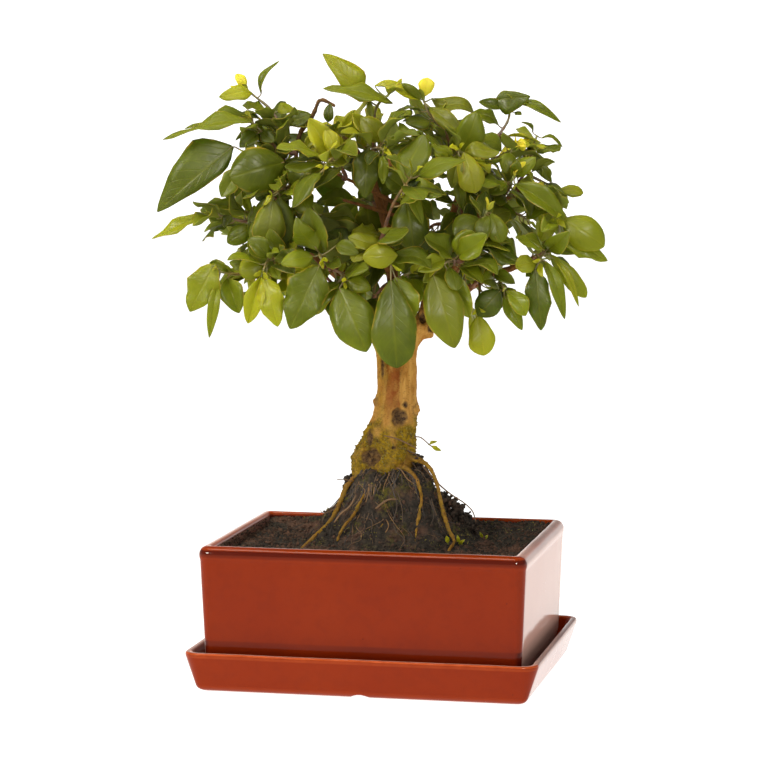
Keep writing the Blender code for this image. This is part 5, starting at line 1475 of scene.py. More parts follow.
class Lumps:
    """A few uneven lumps, which are strewn in many sizes."""

    FINE, COARSE = 4, 3

    def __init__(self, seed: int) -> None:
        """Make the lumps from a seed, the fine ones first."""
        self.draw = random.Random(seed)
        self.forms = [self.lump(2) for _ in range(self.FINE)] + [self.lump(1) for _ in range(self.COARSE)]

    def lump(self, fine: int) -> tuple[np.ndarray, list[list[int]]]:
        """One lump about 2 across.

        Args:
            fine: How often its faces are divided.

        Returns:
            Its points and faces.
        """
        bm = bmesh.new()
        bmesh.ops.create_icosphere(bm, subdivisions=fine, radius=1.0)
        shift = Vector([self.draw.uniform(0, 50) for _ in range(3)])
        stretch = Vector([self.draw.uniform(0.65, 1.25) for _ in range(3)])
        points = []
        for vert in bm.verts:
            push = 1.0 + 0.6 * noise.noise(vert.co * 1.3 + shift)
            points.append(vert.co * stretch * push)
        faces = [[v.index for v in face.verts] for face in bm.faces]
        bm.free()
        return np.array(points), faces

    def strew(self, draft: MeshDraft, place: np.ndarray, size: float, tone: float,
              coarse: bool = False) -> None:
        """Add a turned lump to a draft.

        Args:
            draft: The mesh.
            place: The lump's middle.
            size: Half its width.
            tone: Its tone value.
            coarse: Whether it is one with few faces.
        """
        draw = self.draw
        form = draw.randrange(self.FINE, len(self.forms)) if coarse else draw.randrange(self.FINE)
        points, faces = self.forms[form]
        turn = Matrix.Rotation(draw.uniform(0, 6.28), 3, Vector([draw.gauss(0, 1) for _ in range(3)]))
        draft.add(points @ np.array(turn).T * size + place, faces, tone=tone)


@dataclass
class RootBall:
    """Crumbs, fibres and moss on the peat and round the trunk's foot."""

    peat: bpy.types.Material
    fibre: bpy.types.Material
    moss: bpy.types.Material
    bed: PeatBed
    places: np.ndarray
    normals: np.ndarray
    seed: int = 7
    ball_from: float = 64.5
    crumb_count: int = 4600
    edge_crumbs: int = 420
    thread_count: int = 190
    loose_count: int = 34
    tuft_count: int = 2100
    ground_tufts: int = 5200

    def crumbs(self) -> None:
        """Strew crumbs over the flat peat and over the root ball."""
        lumps = Lumps(self.seed)
        draw = lumps.draw
        flat = MeshDraft("moss", "tone")
        ball = MeshDraft("moss", "tone")
        order = list(range(len(self.places)))
        draw.shuffle(order)
        for k in order[:self.crumb_count]:
            place, normal = self.places[k], self.normals[k]
            across, front, up = tree_place(place)
            if math.hypot(across, front) < TRUNK_FOOT:
                continue
            on_ball = up > self.ball_from
            size = draw.uniform(0.3, 0.85) * (1.25 if draw.random() < 0.12 else 1.0)
            tone = held(draw.gauss(0.1, 0.25) if on_ball else draw.gauss(0.35, 0.3))
            lumps.strew(ball if on_ball else flat, place + normal * size * 0.4, size, tone, size < 0.74)
        for _ in range(self.edge_crumbs):
            along, rise = draw.uniform(-0.95, 0.8), draw.random() ** 1.6
            y = along * (POT_DEPTH / 2 - POT_WALL - 2.0)
            x = -(POT_LENGTH / 2 - POT_WALL - 0.4 - rise * 0.1)
            size = draw.uniform(0.25, 0.7)
            place = np.array((x + size * 0.6, y, 60.6 + rise * 4.6))
            lumps.strew(flat, place, size, draw.uniform(0.1, 0.9), True)
        settle(flat.make("peat_crumbs", [self.peat], smooth=False), Slot.PEAT)
        settle(ball.make("root_ball_crumbs", [self.peat], smooth=False), Slot.PEAT)

    def strand(self, draw: random.Random, turn: float, start: Point, reach: float) -> np.ndarray:
        """The course of a root over the root ball.

        Args:
            draw: The source of chance.
            turn: Its direction from the trunk, in the tree frame.
            start: Its distance from the trunk's axis, its height, and how far it stands off the peat.
            reach: How far from the axis it ends.

        Returns:
            Its rows of points.
        """
        near, high, lift = start
        shift = draw.uniform(0, 90)
        rows = []
        for k in range(9):
            share = k / 8
            away = near + (reach - near) * share
            sway = turn + 0.55 * noise.noise(Vector((share * 2.6, shift, 0.0))) * min(1.0, share * 2)
            place = tree_point((away * math.cos(sway), away * math.sin(sway), 0.0))
            ground = self.bed.level(place.x, place.y)
            up = ground + lift * (1 - share) + 1.3 * noise.noise(Vector((share * 3.0, shift, 7.0)))
            place.z = min(up, high) if k == 0 else up
            rows.append(tuple(place))
        rows[-1] = (rows[-1][0], rows[-1][1], rows[-1][2] - 3.0)
        return np.array(rows)

    def fibres(self) -> None:
        """Grow thin roots down the root ball, and a loose wing of them on its right."""
        draw = random.Random(self.seed + 1)
        draft = MeshDraft("tone")
        for _ in range(self.thread_count):
            turn = draw.uniform(0, 2 * math.pi)
            reach = draw.uniform(20.0, 40.0)
            start = (draw.uniform(9.0, 16.0), 99.0, draw.uniform(-0.3, 1.3))
            rows = flowing(self.strand(draw, turn, start, reach), 1.6)
            draft.thread(rows, draw.uniform(0.14, 0.42), draw.random() ** 2)
        for _ in range(self.loose_count):
            side, front = draw.uniform(8.0, 13.5), draw.uniform(-7.0, 7.0)
            high = draw.uniform(92.0, 105.5)
            out = draw.uniform(3.0, 13.0)
            low = draw.uniform(76.0, 86.0)
            rows = np.array([tree_point(p) for p in (
                (side - 2.0, front, high + 1.0), (side + 0.35 * out, front + draw.uniform(-2, 2), high - 2.0),
                (side + 0.75 * out + 2.0, front + draw.uniform(-3, 3), (high + low) / 2),
                (side + out + 3.0, front + draw.uniform(-4, 4), low),
                (side + out + draw.uniform(2, 9), front + draw.uniform(-5, 7), low - draw.uniform(5, 12)))])
            draft.thread(flowing(rows, 1.4), draw.uniform(0.16, 0.5), draw.random() * 0.4)
        for course in LOOSE_FIBRES:
            rows = flowing(np.array([(*tree_point(p[:3]), p[3]) for p in course]), 1.2)
            draft.add(*swept(rows[:, :3], rows[:, 3], 6), tone=0.55)
        settle(draft.make("root_fibres", [self.fibre]), Slot.BARK)

    def wing(self) -> None:
        """Hang the peat that clings to the loose roots on the right."""
        lumps = Lumps(self.seed + 2)
        draw = lumps.draw
        draft = MeshDraft("moss", "tone")
        for across, up, reach, count in WING_CLUMPS:
            for _ in range(count):
                aside, above = (max(-1.5, min(1.5, draw.gauss(0, 1))) * reach for _ in range(2))
                place = tree_point((across + aside, draw.gauss(1.0, 3.0), up + above))
                size = draw.uniform(0.45, 1.3)
                lumps.strew(draft, np.array(place), size, draw.random() * 0.2, size < 0.95)
        settle(draft.make("clinging_peat", [self.peat], smooth=False), Slot.PEAT)

    def tufts(self, wood: bpy.types.Object) -> None:
        """Grow moss in low tufts on the trunk's foot and the peat beside it.

        Args:
            wood: The wood, whose moss value says where.
        """
        lumps = Lumps(self.seed + 3)
        draw = lumps.draw
        draft = MeshDraft("tone")
        moss, scar = point_values(wood.data, "moss"), point_values(wood.data, "scar")
        mossy = [int(k) for k in np.nonzero((moss > 0.45) & (scar < 0.3))[0]]
        for k in draw.sample(mossy, min(self.tuft_count, len(mossy))):
            vert = wood.data.vertices[k]
            size = draw.uniform(0.18, 0.5) * float(moss[k])
            lumps.strew(draft, np.array(vert.co / MM + vert.normal * size * 0.2), size,
                        held(draw.gauss(0.5, 0.3)), True)
        for k in draw.sample(range(len(self.places)), self.ground_tufts):
            place = self.places[k]
            across, front, up = tree_place(place)
            patch = noise.noise(Vector(place) / 7.0 + Vector((4.0, 1.0, 2.0)))
            if up > 64.0 and patch > 0.1 and math.hypot(across, front) > TRUNK_FOOT:
                size = draw.uniform(0.15, 0.45)
                lumps.strew(draft, place + self.normals[k] * 0.4, size, draw.random() * 0.6, True)
        settle(draft.make("moss", [self.moss]), Slot.LEAF)


# Wood

class Course(Enum):
    """The kinds of wood in the trunk, with the number of sides that their tubes start with."""

    STEM = 24
    BURR = 20
    STUB = 16
    LIMB = 14
    ROOT = 10


BARK_VALUES = ("moss", "scar", "crease", "limb", "rust", "root")


@dataclass
class Wood:
    """The fused stems with their burrs, cut stubs, limbs and surface roots, in one skin of bark."""

    finish: bpy.types.Material
    cell: float = 0.55
    rounds: int = 4
    step: float = 1.5
    root_slim: float = 0.85
    moss_top: float = 122.0
    burr_top: float = 118.0
    fork: float = 164.0
    # painted shade on the wood above this height, high among the leaves
    shaded_from: float = 242.0

    def courses(self) -> Iterable[tuple[Course, int, np.ndarray]]:
        """Go through the courses that the wood grew along.

        Returns:
            Each course's kind, its number among its kind, and its rows of point and radius.
        """
        kinds = ((Course.STEM, STEMS), (Course.BURR, BURRS), (Course.STUB, CUT_STUBS),
                 (Course.LIMB, tuple(LIMBS.values())), (Course.ROOT, ROOTS))
        for kind, table in kinds:
            for number, course in enumerate(table):
                slim = self.root_slim if kind is Course.ROOT else 1.0
                rows = np.array([(*tree_point(row[:3]), row[3] * slim) for row in course])
                yield kind, number, flowing(rows, self.step)

    def skin(self) -> bpy.types.Object:
        """Melt the courses' tubes into one.

        Returns:
            The closed skin.
        """
        draft = MeshDraft()
        for kind, _, rows in self.courses():
            draft.add(*swept(rows[:, :3], rows[:, 3], kind.value))
        thing = draft.make("trunk_bark", [self.finish])
        melt = thing.modifiers.new("melt", "REMESH")
        melt.mode = "VOXEL"
        melt.voxel_size = self.cell * MM
        kept_mesh(thing)
        return thing

    def kin(self) -> tuple[KDTree, list[tuple[Course, int, float]]]:
        """Find which course each place belongs to.

        Returns:
            A search tree of points along the courses, and each point's kind, number and radius.
        """
        kept = [(row, kind, number) for kind, number, rows in self.courses() for row in rows]
        tree = KDTree(len(kept))
        for k, (row, _, _) in enumerate(kept):
            tree.insert(row[:3], k)
        tree.balance()
        return tree, [(kind, number, float(row[3])) for row, kind, number in kept]

    def build(self) -> bpy.types.Object:
        """Make the wood in place of its solid.

        Returns:
            The wood, with the values that its bark reads.
        """
        thing = self.skin()
        mesh = thing.data
        places = point_rows(mesh, "co") / MM
        pairs = np.empty(len(mesh.edges) * 2, np.int32)
        mesh.edges.foreach_get("vertices", pairs)
        first, second = pairs.reshape(-1, 2).T
        degree = np.bincount(pairs, minlength=len(places))[:, None]
        start = places.copy()
        for _ in range(self.rounds):
            total = np.zeros_like(places)
            np.add.at(total, first, places[second])
            np.add.at(total, second, places[first])
            places += 0.5 * (total / degree - places)
        mesh.vertices.foreach_set("co", (places * MM).ravel())
        mesh.update()
        normals = point_rows(mesh, "normal")
        hollow = ((places - start) * normals).sum(axis=1)
        values, rise = self.carving(places, hollow)
        places += normals * rise[:, None]
        mesh.vertices.foreach_set("co", (places * MM).ravel())
        for name, column in values.items():
            carry(mesh, name, column)
        mesh.polygons.foreach_set("use_smooth", [True] * len(mesh.polygons))
        mesh.update()
        return settle(thing, Slot.BARK, "trunk")

    def carving(self, places: np.ndarray, hollow: np.ndarray) -> tuple[dict[str, np.ndarray], np.ndarray]:
        """The bark's values and how far it stands out, at each point of the skin.

        Args:
            places: The points in millimetres.
            hollow: How far smoothing pushed each point out.

        Returns:
            The values by name, and the rise in millimetres.
        """
        values = {name: np.zeros(len(places)) for name in BARK_VALUES}
        rise = np.zeros(len(places))
        tree, kin = self.kin()
        for k, place in enumerate(places):
            point = Vector(place)
            near = [(gap - kin[i][2], kin[i]) for _, i, gap in tree.find_n(point, 6)]
            kind, number, radius = min(near)[1] if len({gap for gap, _ in near}) == 6 else near[0][1]
            across, front, up = tree_place(place)
            is_root = kind is Course.ROOT
            is_limb = kind is Course.LIMB
            broad = min(1.0, radius / 4.5)
            furrow = noise.noise(Vector((place[0] / 2.6, place[1] / 2.6, up / 11.0)))
            fine = noise.noise(point / 1.3)
            lift = broad * (0.75 * furrow + 0.55 * noise.noise(point / 5.5)) + (0.08 + 0.08 * broad) * fine
            foot = held((self.burr_top - up) / 16.0) * broad
            lift += foot * (0.7 * noise.noise(point / 3.0) + 0.3 * noise.noise(point / 1.6))
            if is_limb or is_root:
                lift += 0.22 * noise.noise(point / 2.2)
            deepened, scarred = self.scarring(point, across, front, up)
            mossy = noise.noise(point / 6.0 + Vector((3.0, 8.0, 1.0)))
            moss = 0.0
            if not is_limb and up < self.moss_top + 10.0:
                belt = held((self.moss_top + 9.0 * mossy - up) / 9.0) * (0.45 if is_root else 1.0)
                moss = held(belt * (1.2 + 0.8 * mossy))
            rise[k] = lift + deepened
            rise[k] += moss * (0.4 * noise.noise(point / 0.9) + 0.5 * noise.noise(point / 2.4))
            if up > self.burr_top and across < 3.0 and not is_limb:
                moss = max(moss, 0.42 * max(0.0, 0.5 + mossy) * min(1.0, (3.0 - across) / 3.0))
            values["moss"][k] = moss
            values["limb"][k] = 0.0 if is_root else held((up - self.fork) / 10.0)
            values["root"][k] = 1.0 if is_root and math.hypot(across, front) > 12.0 else 0.0
            # Painted shade: the wood above shaded_from darkens towards the scar colour, on top of the real
            # scars.
            values["scar"][k] = max(scarred, 0.8 * held((up - self.shaded_from) / 6.0))
            middle_stem = 1.0 if kind is Course.STEM and number == 1 else 0.1
            values["rust"][k] = middle_stem * held((up - self.burr_top) / 14.0)
            # Painted shade in the hollows: where smoothing pushed the skin out, the place is concave.
            values["crease"][k] = held(hollow[k] * 2.2 - 0.12 - furrow * 0.25 * broad)
        return values, rise

    def scarring(self, point: Vector, across: float, front: float, up: float) -> tuple[float, float]:
        """What the scars do to a point of the skin.

        Args:
            point: The point.
            across: Its first number in the tree frame.
            front: Its second.
            up: Its third.

        Returns:
            How far they raise it, in millimetres, and how dark they make it.
        """
        lift = dark = 0.0
        for scar in SCARS:
            middle_across, middle_front, middle_up = scar.middle
            off = math.hypot((across - middle_across) / scar.half_width, (up - middle_up) / scar.half_height)
            if off < 1.7 and abs(front - middle_front) < 6.0:
                off += 0.28 * noise.noise(point / 2.2)
                deep = max(0.0, 1.0 - off * off)
                lip = math.exp(-((off - 1.15) / 0.22) ** 2)
                lift += lip * 0.45 - deep * scar.depth + deep * 0.6 * noise.noise(point / 1.4)
                dark = max(dark, min(1.0, deep * 2.6) if scar.depth > 0 else 0.6 * lip)
        return lift, dark


# Growth of the crown, the same as in the solids

def blade_solid(blade: Blade, grow: float = 0.0, petiole: bool = True) -> Solid:
    """A thin arched blade on a keel, as plain as its solid.

    Args:
        blade: The blade.
        grow: How much larger it is all round.
        petiole: Whether it has its stalk.

    Returns:
        Its points and triangles.
    """
    along = blade.tip - blade.base
    length = along.length
    along = along / length
    across = blade.facing.cross(along).normalized()
    normal = along.cross(across)
    sections = []
    stations = BLADE_STATIONS if length > SMALL_BLADE else BLADE_STATIONS[1:]
    if petiole:
        reach = PETIOLE + grow
        lead = (blade.base - blade.root).normalized()
        side = blade.facing.cross(lead).normalized()
        top = lead.cross(side)
        sections.append((blade.root + (side + top * 0.6) * reach,
                         blade.root - (side - top * 0.6) * reach, blade.root - top * reach))
    elif length <= SMALL_BLADE:
        stations = ((0.0, SMALL_BASE), *stations)
    for place, share in stations:
        middle = blade.base + along * place * length
        middle = middle + normal * BLADE_ARCH * length * math.sin(math.pi * place)
        half = blade.width / 2 * share + grow
        thick = BLADE_THICK * min(1.0, 0.7 + share / 2) + grow
        lift = normal * (BLADE_THICK / 2 + grow)
        sections.append((middle + across * half + lift, middle - across * half + lift,
                         middle + lift - normal * (thick + grow)))
    points = [point for section in sections for point in section]
    faces = [(0, 2, 1)]
    for start in range(0, 3 * (len(sections) - 1), 3):
        for k in range(3):
            near, far = start + k, start + (k + 1) % 3
            faces += [(near, far + 3, near + 3), (near, far, far + 3)]
    end = 3 * (len(sections) - 1)
    points.append(blade.tip + along * grow)
    last = len(points) - 1
    faces += [(end, end + 1, last), (end + 1, end + 2, last), (end + 2, end, last)]
    return points, faces


def rod_solid(start: Vector, end: Vector, radius: float) -> Solid:
    """A six-sided rod.

    Args:
        start: One end.
        end: The other.
        radius: Its radius.

    Returns:
        Its points and triangles.
    """
    along = (end - start).normalized()
    side = along.orthogonal().normalized()
    other = along.cross(side)
    points = []
    for place in (start, end):
        for k in range(6):
            angle = k * math.pi / 3
            points.append(place + (side * math.cos(angle) + other * math.sin(angle)) * radius)
    faces = []
    for k in range(6):
        n = (k + 1) % 6
        faces += [(k, n, n + 6), (k, n + 6, k + 6)]
    return points, faces


def box(points: Sequence[Vector]) -> tuple[Vector, Vector]:
    """The lowest and the highest corner of the box round some points."""
    return tuple(Vector([pick(p[i] for p in points) for i in range(3)]) for pick in (min, max))


def point_on(points: Sequence[Vector], share: float) -> tuple[Vector, Vector]:
    """The point and direction at a share of a polyline's length.

    Args:
        points: The polyline.
        share: The share.

    Returns:
        The point, and the direction there.
    """
    lengths = [(b - a).length for a, b in zip(points, points[1:])]
    left = share * sum(lengths)
    for a, b, length in zip(points, points[1:], lengths):
        if left <= length:
            return a.lerp(b, left / length), (b - a) / length
        left -= length
    return points[-1].copy(), (points[-1] - points[-2]).normalized()


def in_window(blade: Blade) -> bool:
    """Whether a blade would fill one of the gaps that the front shows.

    Args:
        blade: The blade.

    Returns:
        True if any of six points of it is seen in a gap.
    """
    across = blade.facing.cross(blade.tip - blade.base).normalized() * blade.width / 2
    middle = blade.base.lerp(blade.tip, 0.45)
    end = blade.base.lerp(blade.tip, 0.75)
    for place in (blade.base, middle - across, middle, middle + across, end, blade.tip):
        side, front, up = tree_place(place)
        nearer = (EYE[1] - SEEN_AT) / (EYE[1] - front)
        side = EYE[0] + (side - EYE[0]) * nearer
        up = EYE[2] + (up - EYE[2]) * nearer
        for number, (left, right, low, high) in enumerate(WINDOWS):
            if left < side < right and low < up < high and (number > 0 or front > HOLLOW_FRONT):
                return True
    return False


def inside_crown(place: Vector) -> bool:
    """Whether a leaf's tip stays in the crown's outline."""
    shares = [(a - b) / half for a, b, half in zip(tree_place(place), CROWN_CENTRE, CROWN_HALF)]
    return abs(place.y) <= CROWN_DEEPEST and sum(share ** 2 for share in shares) < CROWN_REACH


def targets(count: int, scale: float) -> list[Vector]:
    """Points spread evenly over the crown's outline, as a Fibonacci spiral.

    Args:
        count: How many.
        scale: The outline's size, 1 for the crown's own.

    Returns:
        The points.
    """
    golden = math.pi * (3 - math.sqrt(5))
    spread = []
    for k in range(count):
        up = 1 - 2 * (k + 0.5) / count
        ring = math.sqrt(1 - up * up)
        spread.append(tree_point((
            CROWN_CENTRE[0] + CROWN_HALF[0] * scale * ring * math.cos(k * golden),
            CROWN_CENTRE[1] + CROWN_HALF[1] * scale * ring * math.sin(k * golden),
            CROWN_CENTRE[2] + CROWN_HALF[2] * scale * up,
        )))
    return spread


@dataclass
class Shoot:
    """A twig with its leaves' blades."""

    twig: list[Vector]
    blades: list[Blade]


class Crown:
    """The shoots as they grow: each new blade or twig has to be clear of the others."""

    def __init__(self) -> None:
        """Start with the bare wood."""
        self.obstacles: list[Obstacle] = []
        self.shoots: list[Shoot] = []
        self.draw = random.Random(SEED)
        self.axis = self.limb_axis()
        for course in (*STEMS, *CUT_STUBS, *LIMBS.values()):
            places = [tree_point(p[:3]) for p in course]
            for k in range(len(places) - 1):
                radius = max(course[k][3], course[k + 1][3]) + GAP / 2
                self.add(rod_solid(places[k], places[k + 1], radius), None, False)

    def limb_axis(self) -> list[tuple[Vector, Vector, float]]:
        """Go along every limb.

        Returns:
            A point, the direction and the radius there, a few millimetres apart.
        """
        found = []
        for course in LIMBS.values():
            for (*start, thick), (*end, thin) in zip(course, course[1:]):
                first, last = tree_point(start), tree_point(end)
                steps = max(2, round((last - first).length / 4.0))
                for k in range(steps):
                    share = k / steps
                    found.append((first.lerp(last, share), (last - first).normalized(),
                                  thick + (thin - thick) * share))
        return found

    def add(self, solid: Solid, spray: int | None, is_blade: bool) -> None:
        """Remember a solid of a shoot, a blade or wood, that later ones have to miss."""
        self.obstacles.append(Obstacle(*box(solid[0]), BVHTree.FromPolygons(*solid), spray, is_blade))

    def add_twig(self, twig: Sequence[Vector], spray: int) -> None:
        """Remember a twig that later solids have to miss."""
        for a, b in zip(twig, twig[1:]):
            self.add(rod_solid(a, b, TWIG_RADIUS), spray, False)

    def clear(self, solid: Solid, spray: int | None) -> bool:
        """Whether a solid misses all that is placed, apart from its own shoot's twig.

        Args:
            solid: Its points and triangles.
            spray: The number of its shoot.

        Returns:
            True where it is clear.
        """
        (x0, y0, z0), (x1, y1, z1) = box(solid[0])
        tree = None
        for item in self.obstacles:
            if item.spray == spray and spray is not None and not item.is_blade:
                continue
            low, high = item.low, item.high
            if x0 > high.x or x1 < low.x or y0 > high.y or y1 < low.y or z0 > high.z or z1 < low.z:
                continue
            tree = tree or BVHTree.FromPolygons(*solid)
            if tree.overlap(item.tree):
                return False
        return True

    def clear_twig(self, twig: Sequence[Vector], index: int) -> bool:
        """Whether a twig misses all that is placed, its own limb included.

        Args:
            twig: Its points.
            index: The number of its shoot.

        Returns:
            True where it is clear.
        """
        if not self.clear(rod_solid(twig[0], twig[1], TWIG_RADIUS), index):
            return False
        return all(self.clear(rod_solid(a, b, TWIG_RADIUS + CLEARANCE), index)
                   for a, b in zip(twig[1:], twig[2:]))

    def seated(self, course: Sequence[Vector], seat: tuple[Vector, Vector, float]) -> list[Vector]:
        """Seat a twig on a limb: it goes straight out first, then along its course.

        Args:
            course: The twig's points as drawn.
            seat: The place on the limb, the limb's direction and its radius.

        Returns:
            The twig's points.
        """
        place, direction, radius = seat
        out = course[1] - place
        out = (out - direction * out.dot(direction)).normalized()
        return [place + out * (radius + GAP), place + out * (radius + GAP + 2.0), *course[1:]]

    def shown_twig(self, course: Sequence[Vector], index: int) -> list[Vector]:
        """A listed twig, seated on the nearest place of a limb where all of it is clear.

        Args:
            course: Its listed points.
            index: The number of its shoot.

        Returns:
            Its points.
        """
        nearest = sorted(self.axis, key=lambda item: (item[0] - course[0]).length)
        for seat in nearest[:14]:
            twig = self.seated(course, seat)
            if self.clear_twig(twig, index):
                return twig
        return self.seated(course, nearest[0])

    def free_twig(self, goal: Vector, index: int) -> list[Vector] | None:
        """A twig from a limb to a goal that is clear of all that is placed, or None.

        Args:
            goal: Where it ends.
            index: The number of its shoot.

        Returns:
            Its points, or None.
        """
        ranked = sorted(self.axis, key=lambda item: abs((item[0] - goal).length - USUAL_TWIG))
        for place, direction, radius in ranked[:26]:
            if min((place - shoot.twig[0]).length for shoot in self.shoots) < TWIGS_APART:
                continue
            if not SHORTEST_TWIG <= (goal - place).length <= LONGEST_TWIG:
                continue
            bow = UP * self.draw.uniform(2.0, 9.0)
            course = [place, place.lerp(goal, 0.5) + bow, goal]
            twig = self.seated(course, (place, direction, radius))
            if self.clear_twig(twig, index):
                return twig
        return None

    def nearest_on(self, points: Sequence[Vector], target: Vector) -> Vector:
        """The point of a twig nearest to a target, not nearer its end than the twig is thick.

        Args:
            points: The twig.
            target: The target.

        Returns:
            The point.
        """
        best = None
        for a, b in zip(points[1:], points[2:]):
            along = b - a
            share = max(0.0, min(0.98, (target - a).dot(along) / along.length_squared))
            place = a + along * share
            if best is None or (place - target).length < (best - target).length:
                best = place
        return best

    def shown_blade(self, leaf: Leaf, twig: Sequence[Vector], shift: float) -> Blade:
        """The blade of a listed leaf, moved towards the front by a shift.

        Args:
            leaf: The leaf.
            twig: Its twig.
            shift: How far it moves.

        Returns:
            The blade.
        """
        move = FRONT * shift
        base, tip = tree_point(leaf.base) + move, tree_point(leaf.tip) + move
        root = self.nearest_on(twig, base)
        if (base - root).length < SHORT_PETIOLE:
            base = root + (tip - root).normalized() * SHORT_PETIOLE
        return Blade(root, base, tip, leaf.width, tilted(leaf.tilt), leaf.habit)

    def free_blade(self, twig: Sequence[Vector], share: float, turn: float, size: float) -> Blade:
        """The blade of a leaf that grows at a place on a twig, turned about it.

        Args:
            twig: The twig.
            share: The place, as a share of the twig's length.
            turn: The turn.
            size: The leaf's size.

        Returns:
            The blade.
        """
        draw = self.draw
        root, along = point_on(twig, share)
        side = along.cross(UP)
        side = side.normalized() if side.length > 0.05 else Vector((1.0, 0.0, 0.0))
        other = side.cross(along).normalized()
        out = side * math.cos(turn) + other * math.sin(turn)
        centre = tree_point(CROWN_CENTRE)
        outward = (root - centre).normalized()
        lean = draw.uniform(0.35, 0.75)
        heading = (out + along * lean + outward * 0.35 - UP * draw.uniform(0.0, 0.35)).normalized()
        length = size * draw.uniform(0.88, 1.08)
        base = root + heading * (SHORT_PETIOLE + 0.08 * length)
        facing = (UP * 0.75 + outward * 0.65 + out * draw.uniform(-0.3, 0.3)).normalized()
        if abs(facing.dot(heading)) > 0.85:
            facing = (facing + along).normalized()
        return Blade(root, base, base + heading * length, length * draw.uniform(*LEAF_WIDTH), facing)

    def sprout(self, spray: int, shoot: Shoot, share: float, turn: float, size: float,
               clearance: float = CLEARANCE) -> bool:
        """Grow a leaf by rule, if there is room for it.

        Args:
            spray: The shoot's number.
            shoot: The shoot.
            share: Where on its twig the leaf grows, as a share of the twig's length.
            turn: The leaf's turn about the twig.
            size: The leaf's size.
            clearance: How far the leaf stays from the others.

        Returns:
            True if it grew.
        """
        blade = self.free_blade(shoot.twig, share, turn, size)
        if not inside_crown(blade.tip) or in_window(blade):
            return False
        return self.place(spray, blade, shoot.blades, clearance)

    def place(self, spray: int, blade: Blade, blades: list[Blade], clearance: float = CLEARANCE) -> bool:
        """Add a blade to its shoot if it is clear of the others.

        Args:
            spray: The shoot's number.
            blade: The blade.
            blades: The shoot's blades.
            clearance: How far the blade stays from the others.

        Returns:
            True if it was added.
        """
        if not self.clear(blade_solid(blade, clearance, petiole=False), spray):
            return False
        stalk = BVHTree.FromPolygons(*rod_solid(blade.root, blade.base, PETIOLE + clearance))
        for item in self.obstacles:
            if item.spray != spray and stalk.overlap(item.tree):
                return False
        blades.append(blade)
        self.add(blade_solid(blade), spray, True)
        return True

    def grow_pairs(self, spray: int, shoot: Shoot, first: float, last: float, size: float) -> None:
        """Opposite leaves along a stretch of a twig, each pair turned a quarter from the one before.

        Args:
            spray: The shoot's number.
            shoot: The shoot.
            first: Where the stretch starts, as a share of the twig.
            last: Where it ends.
            size: The leaves' size.
        """
        draw = self.draw
        count = max(1, round((last - first) * course_length(shoot.twig) / PAIR_SPACING))
        quarter = draw.uniform(0.0, math.pi)
        for k in range(count + 1):
            share = first + (last - first) * k / count
            near_tip = 1.0 - 0.3 * share
            for half in (0.0, math.pi):
                for attempt in range(9):
                    turn = quarter + half + draw.uniform(-0.5, 0.5) * (1 + attempt / 3)
                    if self.sprout(spray, shoot, share, turn, size * near_tip * (1 - 0.035 * attempt)):
                        break
            quarter += math.pi / 2

    def centres(self) -> list[Vector]:
        """The middles of all the blades."""
        return [blade.base.lerp(blade.tip, 0.5) for shoot in self.shoots for blade in shoot.blades]

    def grow(self) -> None:
        """Grow the sprays that the solids have: the shown ones first, then the rest by rule."""
        twigs = []
        for index, spray in enumerate(SHOWN_SPRAYS):
            twig = self.shown_twig([tree_point(p) for p in spray.twig], index)
            twigs.append(twig)
            self.add_twig(twig, index)
        for index, spray in enumerate(SHOWN_SPRAYS):
            blades: list[Blade] = []
            for leaf in spray.leaves:
                for shift in SHIFTS:
                    if self.place(index, self.shown_blade(leaf, twigs[index], shift), blades):
                        break
            self.shoots.append(Shoot(twigs[index], blades))
        for index, shoot in enumerate(self.shoots):
            self.grow_pairs(index, shoot, 0.25, 0.6, INNER_LEAF)
        self.fill(targets(*OUTER_GOALS) + targets(*INNER_GOALS))

    def fill(self, spread: list[Vector]) -> None:
        """Grow shoots towards the emptiest of the targets.

        Args:
            spread: The targets.
        """
        while len(self.shoots) < MOST_SPRAYS and spread:
            centres = self.centres()
            if len(centres) >= MOST_LEAVES:
                break
            goal = max(spread, key=lambda p: min((c - p).length for c in centres))
            spread.remove(goal)
            index = len(self.shoots)
            twig = self.free_twig(goal, index)
            if twig is None:
                continue
            self.add_twig(twig, index)
            shoot = Shoot(twig, [])
            self.grow_pairs(index, shoot, 0.3, 0.97, OUTER_LEAF)
            if shoot.blades:
                self.shoots.append(shoot)

    def thicken(self) -> None:
        """Grow the smaller leaves that stand between the larger ones."""
        draw = self.draw
        for index, shoot in enumerate(self.shoots):
            count = max(2, round(course_length(shoot.twig) / FILLER_SPACING))
            for k in range(count):
                share = 0.15 + 0.83 * k / count
                for half in (0.0, math.pi):
                    start = draw.uniform(0.0, math.pi)
                    for attempt in range(5):
                        size = draw.uniform(*FILLER_LEAF) * (1 - 0.08 * attempt)
                        turn = start + half + attempt * 1.1
                        if self.sprout(index, shoot, share, turn, size, FILLER_CLEARANCE):
                            break


# Leaves

ALONG = np.array((0.0, 0.03, 0.09, 0.17, 0.26, 0.36, 0.47, 0.58, 0.69, 0.79, 0.88, 0.945, 0.98, 1.0))
ACROSS = np.array((-1.0, -0.6, -0.12, 0.0, 0.12, 0.6, 1.0))
ALONG_SMALL = np.array((0.0, 0.1, 0.25, 0.42, 0.6, 0.78, 0.92, 1.0))
ACROSS_SMALL = np.array((-1.0, -0.5, 0.0, 0.5, 1.0))
LEAF_THICK = 0.26
LEAF_VALUES = ("along", "across", "youth", "tone", "under")
SMALL_LEAF = 13.0  # shorter blades have fewer rows and columns
LARGE_LEAF = 480.0  # length by width, in square millimetres: larger blades are darker


